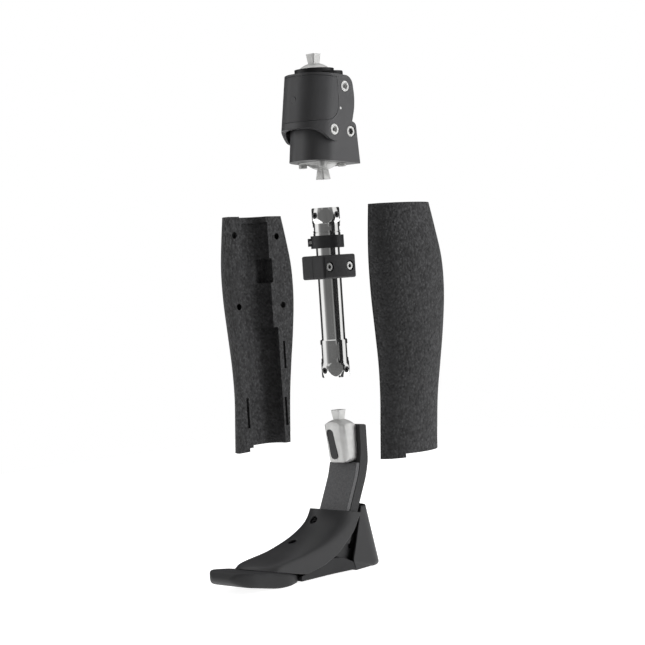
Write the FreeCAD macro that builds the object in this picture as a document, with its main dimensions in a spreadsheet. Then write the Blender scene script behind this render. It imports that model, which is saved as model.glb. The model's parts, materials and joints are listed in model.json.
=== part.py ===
"""Modular leg prosthesis with a polycentric knee, laid open along its own axis.

From the floor up: a prosthetic foot with its pyramid adapter, a steel pylon with a pyramid receiver at
each end, a clamp block and two foam calf covers to its left and right, and a four-bar knee.
Millimetres. Z runs up along the pylon's axis and z = 0 is the floor. The toe points along -Y and +X is
the near side. The groups stand apart, as they do before the leg is put together.
"""

import FreeCAD, Part
import math
import os
import re

import Sketcher

Vector = FreeCAD.Vector
Rotation = FreeCAD.Rotation
Placement = FreeCAD.Placement

doc = FreeCAD.newDocument("leg_prosthesis")
sheet = doc.addObject("Spreadsheet::Sheet", "Sizes")

# Driving dimensions, grouped by the piece that they size. A front is a distance ahead of the pylon's
# axis, so it is measured along -Y, and a height is measured from the floor.
SIZES = {
    "running and seating clearances": {
        "slip_fit": 0.05,
        "seam_gap": 0.4,
    },
    "pyramid and dome, alike on all three adapters": {
        "dome_radius": 28.5,
        "dome_base_radius": 19.0,
        "pyramid_half": 7.5,
        "pyramid_draft": 10.3,
        "pyramid_height": 11.5,
        "pyramid_corner": 1.8,
        "pyramid_root": 5.0,
    },
    "pylon tube and the receivers on its two ends": {
        "tube_radius": 15.0,
        "tube_wall": 2.0,
        "pylon_bottom": 243.0,
        "pylon_top": 458.0,
        "lower_receiver_length": 48.0,
        "upper_receiver_length": 51.0,
        "receiver_end_radius": 17.2,
        "receiver_wide_radius": 20.0,
        "receiver_wide_start": 9.0,
        "receiver_wide_end": 14.5,
        "receiver_grip_start": 20.0,
        "receiver_grip_radius": 17.2,
        "receiver_flat": 17.7,
        "receiver_rim_chamfer": 1.5,
        "wrench_flat": 16.2,
        "wrench_flat_start": 24.0,
        "lower_flat_length": 18.0,
        "upper_flat_length": 5.0,
        "socket_radius": 11.0,
        "socket_depth": 22.0,
        "groove_height": 31.0,
        "groove_depth": 0.8,
        "set_screw_radius": 4.0,
        "set_screw_height": 9.5,
        "set_screw_tip": 8.8,
        "set_screw_length": 10.6,
        "set_screw_socket": 2.0,
    },
    "ring that clamps the upper receiver's skirt": {
        "ring_radius": 21.0,
        "ring_height": 16.0,
        "ring_slit": 1.6,
        "ring_lug_reach": 24.8,
        "ring_lug_width": 12.0,
        "ring_lug_height": 10.0,
        "ring_screw_radius": 2.0,
        "ring_screw_out": 21.2,
    },
    "clamp block that carries the covers": {
        "block_centre": 383.0,
        "block_height": 30.0,
        "block_half_front": 29.0,
        "block_half_side": 20.0,
        "block_corner": 5.0,
        "block_edge": 1.2,
        "block_gap": 1.0,
        "block_screw_front": 19.3,
        "block_screw_radius": 3.0,
        "block_head_radius": 4.8,
        "block_head_height": 4.5,
        "block_head_sink": 5.0,
        "block_nut_radius": 5.6,
        "block_nut_height": 5.0,
    },
    "calf covers, closed about the plane x = 0": {
        "near_cover_out": 116.0,
        "far_cover_out": 136.0,
        "cover_reach": 90.0,
        "cover_bottom": 148.0,
        "cover_top": 455.5,
        "cover_top_slope": 1.5,
        "cover_bottom_slope": 2.0,
        "channel_radius": 26.0,
        "channel_lip_radius": 24.0,
        "channel_lip_height": 8.0,
        "channel_step": 307.0,
        "channel_low_front": 24.5,
        "channel_low_rear": 34.0,
        "channel_low_depth": 25.2,
        "channel_low_front_corner": 12.0,
        "channel_low_rear_corner": 20.0,
        "pocket_gap": 1.5,
        "dowel_radius": 4.2,
        "dowel_length": 6.0,
        "dowel_gap": 0.3,
        "front_upper_dowel_front": 34.0,
        "front_upper_dowel_height": 432.0,
        "rear_upper_dowel_rear": 42.0,
        "rear_upper_dowel_height": 428.0,
        "front_lower_dowel_front": 34.0,
        "front_lower_dowel_height": 338.0,
        "rear_lower_dowel_rear": 46.0,
        "rear_lower_dowel_height": 336.0,
        "front_slot_front": 30.0,
        "front_slot_bottom": 178.0,
        "front_slot_height": 40.0,
        "rear_slot_behind": 39.5,
        "rear_slot_bottom": 175.0,
        "rear_slot_height": 38.0,
        "rear_notch_behind": 43.0,
        "rear_notch_bottom": 251.0,
        "rear_notch_height": 37.0,
        "slot_width": 4.0,
        "slot_depth": 7.0,
        "hem_front": 31.0,
        "hem_height": 4.0,
    },
    "blade that rises out of the foot": {
        "blade_top": 181.0,
        "blade_half": 23.8,
        "blade_front": -12.0,
        "blade_thickness": 15.0,
        "blade_knee": 133.0,
        "blade_lean": 0.466,
        "blade_foot": 34.0,
        "blade_bend": 110.0,
        "facing_thickness": 7.0,
        "facing_top": 131.0,
        "blade_rear_round": 8.0,
    },
    "foot adapter": {
        "foot_apex": 189.5,
        "adapter_half": 17.0,
        "adapter_front": 13.0,
        "adapter_low_front": 7.5,
        "adapter_bottom": 134.0,
        "adapter_shoulder": 179.0,
        "adapter_corner": 7.0,
        "adapter_slot_width": 10.0,
        "adapter_slot_top": 176.0,
        "adapter_slot_bottom": 139.0,
        "adapter_slot_top_side": -6.0,
        "adapter_slot_bottom_side": -3.0,
        "adapter_slot_depth": 9.0,
        "adapter_bolt_radius": 4.0,
        "adapter_bolt_low": 146.0,
        "adapter_bolt_high": 168.0,
        "adapter_bolt_head_radius": 6.5,
        "adapter_bolt_head_height": 4.0,
    },
    "heel cup": {
        "heel_half": 30.0,
        "heel_rear": 41.0,
        "heel_top_half": 24.5,
        "heel_top_rear": 27.5,
        "heel_top": 78.0,
        "heel_wall": 3.2,
        "heel_floor": 11.0,
        "heel_front_foot": 16.0,
        "heel_front_top": -5.0,
        "heel_corner": 24.0,
        "heel_edge": 6.0,
    },
    "sole pieces": {
        "sole_half": 31.0,
        "waist_front": 113.0,
        "waist_arch": 1.5,
        "waist_top": 22.0,
        "pad_rear": 115.0,
        "pad_rear_half": 24.0,
        "pad_half": 35.0,
        "pad_widest": 136.0,
        "pad_tip": 220.0,
        "pad_toe_half": 33.0,
        "pad_toe_corner": 30.0,
        "pad_flat_end": 155.0,
        "pad_rear_thickness": 11.0,
        "pad_tip_height": 19.0,
        "pad_top": 27.0,
    },
    "instep cover": {
        "instep_wall": 2.8,
        "instep_rim": 82.0,
        "instep_rim_rear": 4.0,
        "instep_rim_slope": 10.0,
        "instep_hole_radius": 5.2,
        "instep_head_radius": 4.6,
        "instep_head_height": 4.0,
        "instep_head_sink": 4.5,
        "instep_shank_radius": 2.5,
        "instep_boss_radius": 5.6,
        "high_hole_front": 56.5,
        "high_hole_height": 67.5,
        "high_screw_length": 22.0,
        "low_hole_front": 96.0,
        "low_hole_height": 47.0,
        "low_screw_length": 26.0,
    },
    "keel inside the foot": {
        "keel_half": 19.5,
        "keel_rear": 18.0,
        "keel_toe": 160.0,
        "keel_toe_thickness": 4.5,
        "keel_toe_sink": 5.4,
        "keel_cell": 8.0,
        "keel_web": 3.0,
        "keel_cell_depth": 6.0,
        "seat_gap": 0.3,
    },
    "knee pivots": {
        "front_pivot_front": 13.7,
        "front_pivot_height": 554.0,
        "rear_pivot_front": -20.6,
        "rear_pivot_height": 552.0,
        "upper_pivot_front": -9.6,
        "upper_pivot_height": 608.0,
        "hidden_pivot_front": -6.0,
        "hidden_pivot_height": 602.0,
        "axle_radius": 4.5,
        "rear_axle_radius": 4.0,
        "hidden_pin_radius": 3.0,
        "hidden_pin_play": 2.0,
        "bush_wall": 1.5,
        "axle_head_radius": 5.8,
        "axle_head_height": 2.6,
        "axle_head_socket": 2.6,
        "axle_thread_radius": 2.5,
        "axle_thread_length": 12.0,
        "head_recess_gap": 0.8,
        "head_recess_depth": 1.6,
        "stub_inner": 12.5,
        "hidden_pin_half": 11.5,
    },
    "knee housing, the lower link": {
        "housing_half": 34.5,
        "housing_low": 505.0,
        "housing_front_low": 43.6,
        "housing_rear_low": 36.9,
        "housing_high": 568.0,
        "housing_front_high": 34.8,
        "housing_rear_high": 27.9,
        "housing_top": 567.0,
        "housing_corner": 30.0,
        "housing_rear_corner": 8.0,
        "housing_rim_front": 518.6,
        "housing_rim_rear": 511.3,
        "housing_pocket_half": 22.0,
        "housing_pocket_rear": 4.0,
        "housing_pocket_floor": 532.0,
        "rear_ear_radius": 9.0,
        "rear_axle_half": 31.0,
        "link_slot_half": 9.5,
        "link_slot_front": -6.0,
        "link_slot_floor": 541.0,
    },
    "lower knee adapter": {
        "knee_apex": 505.5,
        "flange_half": 23.0,
        "flange_corner": 6.0,
        "flange_top": 519.0,
        "flange_thickness": 5.0,
        "flange_screw_half": 17.5,
        "flange_screw_radius": 3.0,
        "flange_screw_length": 14.0,
        "flange_head_radius": 5.0,
        "flange_head_height": 3.4,
        "flange_head_socket": 2.2,
    },
    "front link of the knee, a shell with an ear on each side": {
        "shell_half": 39.0,
        "shell_inner_half": 35.0,
        "shell_front_low": 53.4,
        "shell_front_high": 38.0,
        "shell_low": 540.0,
        "shell_high": 630.0,
        "shell_front_wall": 7.0,
        "shell_corner": 34.0,
        "shell_open_rear": 32.0,
        "shell_rim_front": 627.5,
        "shell_rim_rear": 622.0,
        "shell_bottom": 561.0,
        "upper_ear_radius": 13.5,
        "front_ear_radius": 14.0,
        "pad_depth": 2.2,
        "pad_front_depth": 3.0,
        "pad_side_front": 3.0,
        "pad_side_corner": 22.0,
        "pad_bottom": 565.5,
        "pad_top_front": 626.0,
        "pad_top_side": 619.9,
        "plug_height": 594.0,
        "plug_radius": 4.0,
        "plug_proud": 0.4,
        "plug_lift": 0.72,
        "mark_front": 0.6,
        "mark_height": 580.5,
        "mark_radius": 1.5,
        "mark_depth": 0.6,
    },
    "thigh block, the upper link": {
        "thigh_half": 34.0,
        "crown_top": 633.0,
        "crown_height": 6.5,
        "crown_radius": 25.0,
        "crown_front": 4.0,
        "thigh_low": 590.0,
        "thigh_rear": 25.0,
        "thigh_neck_front": 15.0,
        "thigh_slot_half": 9.0,
        "upper_apex": 641.0,
        "upper_spigot_radius": 10.0,
        "upper_spigot_depth": 12.0,
        "stop_width": 20.0,
        "stop_low": 611.0,
        "stop_height": 11.0,
        "stop_length": 16.6,
        "crown_bolt_length": 5.5,
    },
    "rear link of the knee": {
        "link_half": 8.0,
        "link_eye_radius": 8.0,
        "link_waist": 6.0,
    },
}

# The calf cover, ring by ring from below: height, reach to the front, reach to the rear and half width.
CALF_LEVELS = (
    (136.0, 51.0, 42.0, 31.0),
    (183.0, 47.0, 45.2, 31.6),
    (220.0, 43.8, 48.6, 33.4),
    (260.0, 43.0, 54.4, 38.0),
    (300.0, 45.4, 61.0, 41.8),
    (345.0, 48.6, 66.0, 44.8),
    (385.0, 49.3, 65.4, 44.6),
    (420.0, 47.4, 59.4, 40.4),
    (466.0, 42.6, 49.0, 34.6),
)
# The instep cover, level by level from below: height, reach to the front, half width and corner radius.
INSTEP_LEVELS = (
    (4.0, 200.0, 34.0, 33.5),
    (27.0, 178.0, 34.0, 33.5),
    (35.0, 136.0, 34.0, 33.0),
    (43.0, 106.0, 34.0, 32.5),
    (50.5, 85.0, 33.5, 32.0),
    (60.0, 65.5, 33.0, 30.0),
    (68.0, 55.5, 32.6, 28.0),
    (80.0, 48.0, 32.0, 26.0),
    (95.0, 43.0, 31.0, 24.0),
)
SIZES["calf levels"] = {
    f"calf_{word}_{at}": value
    for at, level in enumerate(CALF_LEVELS)
    for word, value in zip(("height", "front", "rear", "half"), level)
}
SIZES["instep levels"] = {
    f"instep_{word}_{at}": value
    for at, level in enumerate(INSTEP_LEVELS)
    for word, value in zip(("height", "front", "half", "corner"), level)
}


def fill_sheet():
    """One row to a size: its name, and its value in a cell that has the name as alias."""
    row = 1
    for group, sizes in SIZES.items():
        sheet.set(f"A{row}", group)
        row += 1
        for name, number_value in sizes.items():
            sheet.set(f"A{row}", name)
            sheet.set(f"B{row}", str(number_value))
            sheet.setAlias(f"B{row}", name)
            row += 1
    doc.recompute()


fill_sheet()
SIZE_NAMES = {name for sizes in SIZES.values() for name in sizes}


def linked(text):
    """An expression in plain size names, as the document writes it."""
    return re.sub(r"[a-z][a-z_0-9]*", lambda word: f"Sizes.{word[0]}" if word[0] in SIZE_NAMES else word[0], text)


def number(text):
    """The value of an expression in size names."""
    return float(sheet.evalExpression(text))


def bind(piece, **sizes):
    """Ties each property to its expression."""
    for name, text in sizes.items():
        piece.setExpression(name, linked(text))


# Turns that lay a piece made along Z onto another axis.
TURNS = {
    "+Z": Rotation(),
    "-Z": Rotation(Vector(1, 0, 0), 180),
    "+X": Rotation(Vector(0, 1, 0), 90),
    "-X": Rotation(Vector(0, 1, 0), -90),
    "+Y": Rotation(Vector(1, 0, 0), -90),
    "-Y": Rotation(Vector(1, 0, 0), 90),
}


def place(piece, at, along="+Z"):
    """Moves a piece to a place given by expressions, turned from Z onto another axis."""
    turn = along if isinstance(along, Rotation) else TURNS[along]
    piece.Placement = Placement(Vector(), turn)
    for axis, text in zip("xyz", at):
        piece.setExpression(f"Placement.Base.{axis}", linked(text))
    return piece


def cylinder(name, radius, height, at, along="+Z"):
    piece = doc.addObject("Part::Cylinder", name)
    bind(piece, Radius=radius, Height=height)
    return place(piece, at, along)


def box(name, length, width, height, at, along="+Z"):
    piece = doc.addObject("Part::Box", name)
    bind(piece, Length=length, Width=width, Height=height)
    return place(piece, at, along)


def centred_box(name, length, width, height, at):
    """A box whose middle lies at the place in x and y, and whose base lies there in z."""
    x, y, z = at
    return box(name, length, width, height, (f"{x} - ({length}) / 2", f"{y} - ({width}) / 2", z))


def ball(name, radius, at):
    piece = doc.addObject("Part::Sphere", name)
    bind(piece, Radius=radius)
    return place(piece, at)


def hexagon(name, radius, height, at, along="+Z"):
    piece = doc.addObject("Part::Prism", name)
    piece.Polygon = 6
    bind(piece, Circumradius=radius, Height=height)
    return place(piece, at, along)


def fuse(name, *pieces):
    piece = doc.addObject("Part::MultiFuse", name)
    piece.Shapes = list(pieces)
    piece.Refine = True
    return piece


def common(name, *pieces):
    piece = doc.addObject("Part::MultiCommon", name)
    piece.Shapes = list(pieces)
    return piece


def cut(name, base, *tools):
    """Takes the tools away from the base, one after another."""
    for at, tool in enumerate(tools, 1):
        piece = doc.addObject("Part::Cut", name if at == len(tools) else f"{name}_less_{at}")
        piece.Base = base
        piece.Tool = tool
        base = piece
    return base


def group(name, *pieces):
    piece = doc.addObject("Part::Compound", name)
    piece.Links = list(pieces)
    return piece


def rounded(name, piece, radius, chosen):
    """Rounds the edges that the test chooses."""
    doc.recompute()
    numbers = [at for at, edge in enumerate(piece.Shape.Edges, 1) if chosen(edge)]
    fillet = doc.addObject("Part::Fillet", name)
    fillet.Base = piece
    fillet.Edges = [(at, number(radius), number(radius)) for at in numbers]
    return fillet


def runs_along(axis):
    """A test for straight edges along an axis."""
    def chosen(edge):
        if edge.Curve.TypeId != "Part::GeomLine":
            return False
        run = edge.Curve.Direction
        return abs(getattr(run, axis)) > 0.99
    return chosen


def body(name):
    return doc.addObject("PartDesign::Body", name)


def sketch(owner, name, role, height="0"):
    """A sketch on one of the body's own planes, raised along the plane's normal."""
    drawing = owner.newObject("Sketcher::SketchObject", name)
    plane = [feature for feature in owner.Origin.OriginFeatures if feature.Role == role][0]
    drawing.AttachmentSupport = [(plane, "")]
    drawing.MapMode = "FlatFace"
    drawing.setExpression("AttachmentOffset.Base.z", linked(height))
    return drawing


def turn_at(before, here, after):
    """The turn of an outline at a corner, in radians, positive to the left."""
    run_in = here - before
    run_out = after - here
    cross = run_in.x * run_out.y - run_in.y * run_out.x
    return math.atan2(cross, run_in.dot(run_out))


def outline(drawing, corners):
    """A closed outline of straight sides. A corner is (x, y), or (x, y, radius) where it is rounded.

    Each number of a corner is an expression, and ties the point or the radius to the sheet.
    """
    points = [Vector(number(corner[0]), number(corner[1]), 0) for corner in corners]
    count = len(corners)
    enters, leaves, arcs = list(points), list(points), {}
    for at, corner in enumerate(corners):
        if len(corner) == 3:
            before, here, after = points[at - 1], points[at], points[(at + 1) % count]
            turn = turn_at(before, here, after)
            reach = number(corner[2]) * math.tan(abs(turn) / 2)
            enters[at] = here + (before - here).normalize() * reach
            leaves[at] = here + (after - here).normalize() * reach
            arcs[at] = turn
    for at in range(count):
        drawing.addGeometry(Part.LineSegment(leaves[at], enters[(at + 1) % count]))
    for at, corner in enumerate(corners):
        line_in, line_out = (at - 1) % count, at
        if at in arcs:
            tie_rounded_corner(drawing, corner, points[at], enters[at], leaves[at], arcs[at], line_in, line_out)
        else:
            drawing.addConstraint(Sketcher.Constraint("Coincident", line_in, 2, line_out, 1))
            tie_point(drawing, line_out, corner, points[at])
    return drawing


def tie_point(drawing, item, corner, point):
    """Holds the first point of an item at the corner's two expressions."""
    for kind, text, value in (("DistanceX", corner[0], point.x), ("DistanceY", corner[1], point.y)):
        rule = drawing.addConstraint(Sketcher.Constraint(kind, -1, 1, item, 1, value))
        drawing.setExpression(f"Constraints[{rule}]", linked(text))


def tie_rounded_corner(drawing, corner, here, enter, leave, turn, line_in, line_out):
    """An arc that meets both sides, with a construction point where the sharp corner would be."""
    radius = number(corner[2])
    side = 1 if turn > 0 else -1
    run = (here - enter).normalize()
    middle = enter + Vector(-run.y, run.x, 0) * (radius * side)
    first, last = (enter, leave) if turn > 0 else (leave, enter)
    start = math.atan2(first.y - middle.y, first.x - middle.x)
    stop = math.atan2(last.y - middle.y, last.x - middle.x)
    circle = Part.Circle(middle, Vector(0, 0, 1), radius)
    arc = drawing.addGeometry(Part.ArcOfCircle(circle, start, stop))
    arc_in, arc_out = (1, 2) if turn > 0 else (2, 1)
    drawing.addConstraint(Sketcher.Constraint("Tangent", line_in, 2, arc, arc_in))
    drawing.addConstraint(Sketcher.Constraint("Tangent", arc, arc_out, line_out, 1))
    rule = drawing.addConstraint(Sketcher.Constraint("Radius", arc, radius))
    drawing.setExpression(f"Constraints[{rule}]", linked(corner[2]))
    mark = drawing.addGeometry(Part.Point(here), True)
    tie_point(drawing, mark, corner, here)
    drawing.addConstraint(Sketcher.Constraint("PointOnObject", mark, 1, line_in))
    drawing.addConstraint(Sketcher.Constraint("PointOnObject", mark, 1, line_out))


def turned(name, corners):
    """A body turned about Z from an outline of (radius, height) corners."""
    owner = body(name)
    drawing = outline(sketch(owner, f"{name}_profile", "XZ_Plane"), corners)
    feature = owner.newObject("PartDesign::Revolution", f"{name}_turn")
    feature.Profile = drawing
    feature.ReferenceAxis = (drawing, ["V_Axis"])
    feature.Angle = 360
    return owner


def side_slab(name, corners, half):
    """A body with an outline seen from the side, of (front, height) corners, as wide as twice the half."""
    owner = body(name)
    flipped = [(f"-({corner[0]})",) + tuple(corner[1:]) for corner in corners]
    drawing = outline(sketch(owner, f"{name}_profile", "YZ_Plane"), flipped)
    feature = owner.newObject("PartDesign::Pad", f"{name}_pad")
    feature.Profile = drawing
    feature.Midplane = True
    bind(feature, Length=f"2 * ({half})")
    return owner


def plan_slab(name, corners, low, height):
    """A body with an outline seen from above, of (side, front) corners, from a height up."""
    owner = body(name)
    flipped = [(corner[0], f"-({corner[1]})") + tuple(corner[2:]) for corner in corners]
    drawing = outline(sketch(owner, f"{name}_profile", "XY_Plane", low), flipped)
    feature = owner.newObject("PartDesign::Pad", f"{name}_pad")
    feature.Profile = drawing
    bind(feature, Length=height)
    return owner


def lofted(name, sections, ruled=True):
    """A body lofted through plan sections, each a height and its (side, front) corners."""
    owner = body(name)
    drawings = []
    for at, (height, corners) in enumerate(sections):
        flipped = [(corner[0], f"-({corner[1]})") + tuple(corner[2:]) for corner in corners]
        drawings.append(outline(sketch(owner, f"{name}_section_{at}", "XY_Plane", height), flipped))
    feature = owner.newObject("PartDesign::AdditiveLoft", f"{name}_loft")
    feature.Profile = drawings[0]
    feature.Sections = drawings[1:]
    feature.Ruled = ruled
    return owner


def d_section(half, front, rear, front_corner, rear_corner=None):
    """Corners of a section that is rounded in front and squarer behind."""
    behind = (rear_corner,) if rear_corner else ()
    return [
        (f"-({half})", f"-({rear})") + behind,
        (f"-({half})", front, front_corner),
        (half, front, front_corner),
        (half, f"-({rear})") + behind,
    ]


def cap_screw(name, at, outward, shank, length, head, head_height, socket):
    """A screw seated at a place, with its head outward and its shank the other way."""
    parts = [
        cylinder(f"{name}_shank", shank, f"{length} + 0.1", ("0", "0", f"-({length})")),
        cylinder(f"{name}_head", head, head_height, ("0", "0", "0")),
    ]
    blank = fuse(f"{name}_blank", *parts)
    drive = hexagon(f"{name}_drive", socket, head_height, ("0", "0", f"({head_height}) * 0.4"))
    return place(cut(name, blank, drive), at, outward)


def set_screw(name, tip, length, radius, socket, at, outward):
    """A headless screw from its tip outward, with a hexagon socket in its outer end."""
    shank = cylinder(f"{name}_shank", radius, length, ("0", "0", tip))
    drive = hexagon(f"{name}_drive", socket, "4", ("0", "0", f"{tip} + {length} - 3"))
    return place(cut(name, shank, drive), at, outward)


# How far a dome rises from its foot to its top.
DOME_RISE = "(dome_radius - sqrt(dome_radius ^ 2 - dome_base_radius ^ 2))"
QUARTERS = ((1, 0), (0, 1), (-1, 0), (0, -1))
CORNERS = ((1, 1), (-1, 1), (-1, -1), (1, -1))


def pyramid_post(name, apex, along):
    """The four-sided post that widens outward, with bevelled corners, rooted below the dome's top."""
    owner = body(f"{name}_body")
    half, bevel = "pyramid_half", "(pyramid_half - pyramid_corner)"
    drawing = outline(sketch(owner, f"{name}_end", "XY_Plane", "pyramid_height"), [
        (half, f"-{bevel}"), (half, bevel), (bevel, half), (f"-{bevel}", half),
        (f"-{half}", bevel), (f"-{half}", f"-{bevel}"), (f"-{bevel}", f"-{half}"), (bevel, f"-{half}"),
    ])
    feature = owner.newObject("PartDesign::Pad", f"{name}_taper")
    feature.Profile = drawing
    feature.Reversed = True
    bind(feature, Length="pyramid_height + pyramid_root", TaperAngle="-pyramid_draft")
    return place(group(name, owner), ("0", "0", apex), along)


def domed_pyramid(name, apex, along):
    """A dome with its top at the apex height, and a pyramid on it."""
    crown = ball(f"{name}_ball", "dome_radius", ("0", "0", "-dome_radius"))
    keep = cylinder(f"{name}_keep", "dome_base_radius", DOME_RISE, ("0", "0", f"-{DOME_RISE}"))
    cap = place(group(f"{name}_cap", common(f"{name}_dome", crown, keep)), ("0", "0", apex), along)
    return fuse(name, cap, pyramid_post(f"{name}_post", apex, along))


# Pylon
def tube():
    bottom = "pylon_bottom + socket_depth + 0.3"
    height = "pylon_top - pylon_bottom - 2 * socket_depth - 0.6"
    outer = cylinder("tube_outside", "tube_radius", height, ("0", "0", bottom))
    inner = cylinder("tube_inside", "tube_radius - tube_wall", height, ("0", "0", bottom))
    return cut("pylon_tube", outer, inner)


def receiver(name, length, flat_length, at, along, grooved):
    """A turned socket: a spherical seat and four set screws at its end, and a bore for the tube."""
    bore = "tube_radius + slip_fit"
    groove = [
        ("receiver_grip_radius", "groove_height - groove_depth"),
        ("receiver_grip_radius - groove_depth", "groove_height"),
        ("receiver_grip_radius", "groove_height + groove_depth"),
    ]
    blank = turned(f"{name}_blank", [
        ("socket_radius", "0"),
        ("receiver_end_radius", "0"),
        ("receiver_wide_radius", "receiver_wide_start"),
        ("receiver_wide_radius", "receiver_wide_end"),
        ("receiver_grip_radius", "receiver_grip_start"),
        *(groove if grooved else []),
        ("receiver_grip_radius", f"{length} - receiver_rim_chamfer"),
        ("receiver_grip_radius - receiver_rim_chamfer / 2", length),
        (bore, length),
        (bore, "socket_depth"),
        ("socket_radius", "socket_depth"),
    ])
    square = box(f"{name}_square", "2 * receiver_flat", "2 * receiver_flat", length,
                 ("0", "-receiver_flat * sqrt(2)", "0"), Rotation(Vector(0, 0, 1), 45))
    faceted = common(f"{name}_faceted", blank, square)
    seat = ball(f"{name}_seat", "dome_radius", ("0", "0", "-sqrt(dome_radius ^ 2 - receiver_end_radius ^ 2)"))
    waist = cylinder(f"{name}_waist", "receiver_wide_radius * 1.5", flat_length, ("0", "0", "wrench_flat_start"))
    core = box(f"{name}_core", "2 * wrench_flat", "2 * wrench_flat", length,
               ("0", "-wrench_flat * sqrt(2)", "0"), Rotation(Vector(0, 0, 1), 45))
    tools = [seat, cut(f"{name}_flats", waist, core)]
    for at_quarter, (side, front) in enumerate(QUARTERS):
        tools.append(cylinder(f"{name}_screw_hole_{at_quarter}", "set_screw_radius + slip_fit",
                              "receiver_wide_radius + 5", ("0", "0", "set_screw_height"), facing(side, front)))
    return place(cut(name, faceted, *tools), at, along)


def facing(side, front):
    """The turn that lays Z onto a direction in the floor's plane."""
    return Rotation(Vector(0, 0, 1), Vector(side, front, 0))


def set_screws(name, height):
    """Four set screws round a receiver, backed off to let the pyramid in."""
    screws = []
    for at_quarter, (side, front) in enumerate(QUARTERS):
        screws.append(set_screw(f"{name}_{at_quarter}", "set_screw_tip", "set_screw_length", "set_screw_radius",
                                "set_screw_socket", ("0", "0", height), facing(side, front)))
    return group(name, *screws)


# The ring's lug points to the rear of the far side.
RING_TURN = Rotation(Vector(0, 0, 1), -45)
RING_BOTTOM = "pylon_top - upper_receiver_length"


def clamp_ring():
    """A split ring with a lug for its screw, made with the lug in front and then turned."""
    band = cylinder("ring_band", "ring_radius", "ring_height", ("0", "0", "0"))
    lug = box("ring_lug", "ring_lug_width", "ring_lug_reach", "ring_lug_height",
              ("-ring_lug_width / 2", "-ring_lug_reach", "(ring_height - ring_lug_height) / 2"))
    bore = cylinder("ring_bore", "receiver_grip_radius + slip_fit", "ring_height + 2", ("0", "0", "-1"))
    slit = box("ring_slit_cut", "ring_slit", "ring_lug_reach + 1", "ring_height + 2",
               ("-ring_slit / 2", "-ring_lug_reach - 1", "-1"))
    hole = ring_rod("ring_screw_hole", "ring_screw_radius + slip_fit", "ring_lug_width + 2")
    return place(cut("clamp_ring", fuse("ring_solid", band, lug), bore, slit, hole), ("0", "0", RING_BOTTOM), RING_TURN)


def ring_rod(name, radius, length):
    """A rod across the lug, centred on the slit."""
    return cylinder(name, radius, length, (f"-({length}) / 2", "-ring_screw_out", "ring_height / 2"), "+X")


def clamp_screw():
    rod = ring_rod("clamp_screw_rod", "ring_screw_radius", "ring_lug_width")
    return place(group("clamp_screw", rod), ("0", "0", RING_BOTTOM), RING_TURN)


def clamp_block(name, side):
    """Half of the block round the tube. The near half holds the screw heads, the far half the nuts."""
    corner_sign = "" if side > 0 else "-"
    bottom = "block_centre - block_height / 2"
    base = plan_slab(f"{name}_blank", [
        (f"{corner_sign}block_gap / 2", "-block_half_front"),
        (f"{corner_sign}block_half_side", "-block_half_front", "block_corner"),
        (f"{corner_sign}block_half_side", "block_half_front", "block_corner"),
        (f"{corner_sign}block_gap / 2", "block_half_front"),
    ], bottom, "block_height")
    softened = rounded(f"{name}_softened", base, "block_edge", lambda edge: is_block_rim(edge))
    tools = [cylinder(f"{name}_bore", "tube_radius + slip_fit", "block_height + 2", ("0", "0", f"{bottom} - 1"))]
    for at, front in enumerate(("block_screw_front", "-block_screw_front")):
        tools.append(cylinder(f"{name}_screw_hole_{at}", "block_screw_radius + slip_fit", "2 * block_half_side + 2",
                              ("-block_half_side - 1", f"-({front})", "block_centre"), "+X"))
        if side > 0:
            tools.append(cylinder(f"{name}_head_hole_{at}", "block_head_radius + 1", "block_head_sink + 1",
                                  ("block_half_side - block_head_sink", f"-({front})", "block_centre"), "+X"))
        else:
            tools.append(hexagon(f"{name}_nut_hole_{at}", "block_nut_radius + slip_fit", "block_nut_height + 1",
                                 ("-block_half_side + block_nut_height", f"-({front})", "block_centre"), "-X"))
    return cut(name, softened, *tools)


def is_block_rim(edge):
    """True for the block's outer edges at its top and bottom."""
    low = number("block_centre - block_height / 2")
    high = number("block_centre + block_height / 2")
    box_of = edge.BoundBox
    level = abs(box_of.ZMax - box_of.ZMin) < 0.01 and min(abs(box_of.ZMin - low), abs(box_of.ZMin - high)) < 0.01
    split = max(abs(box_of.XMin), abs(box_of.XMax)) < number("block_gap")
    return level and not split


def block_screws():
    length = "block_half_side * 2 - block_head_sink - 1"
    return group("block_screws", *[
        cap_screw(f"block_screw_{at}", ("block_half_side - block_head_sink", f"-({front})", "block_centre"), "+X",
                  "block_screw_radius", length, "block_head_radius", "block_head_height", "2.6")
        for at, front in enumerate(("block_screw_front", "-block_screw_front"))
    ])


def block_nuts():
    nuts = []
    for at, front in enumerate(("block_screw_front", "-block_screw_front")):
        place_of = ("-block_half_side + block_nut_height - slip_fit", f"-({front})", "block_centre")
        nut = hexagon(f"block_nut_blank_{at}", "block_nut_radius", "block_nut_height - slip_fit", place_of, "-X")
        bore = cylinder(f"block_nut_bore_{at}", "block_screw_radius + slip_fit", "block_nut_height * 3",
                        ("-block_half_side - block_nut_height", f"-({front})", "block_centre"), "+X")
        nuts.append(cut(f"block_nut_{at}", nut, bore))
    return group("block_nuts", *nuts)


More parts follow.
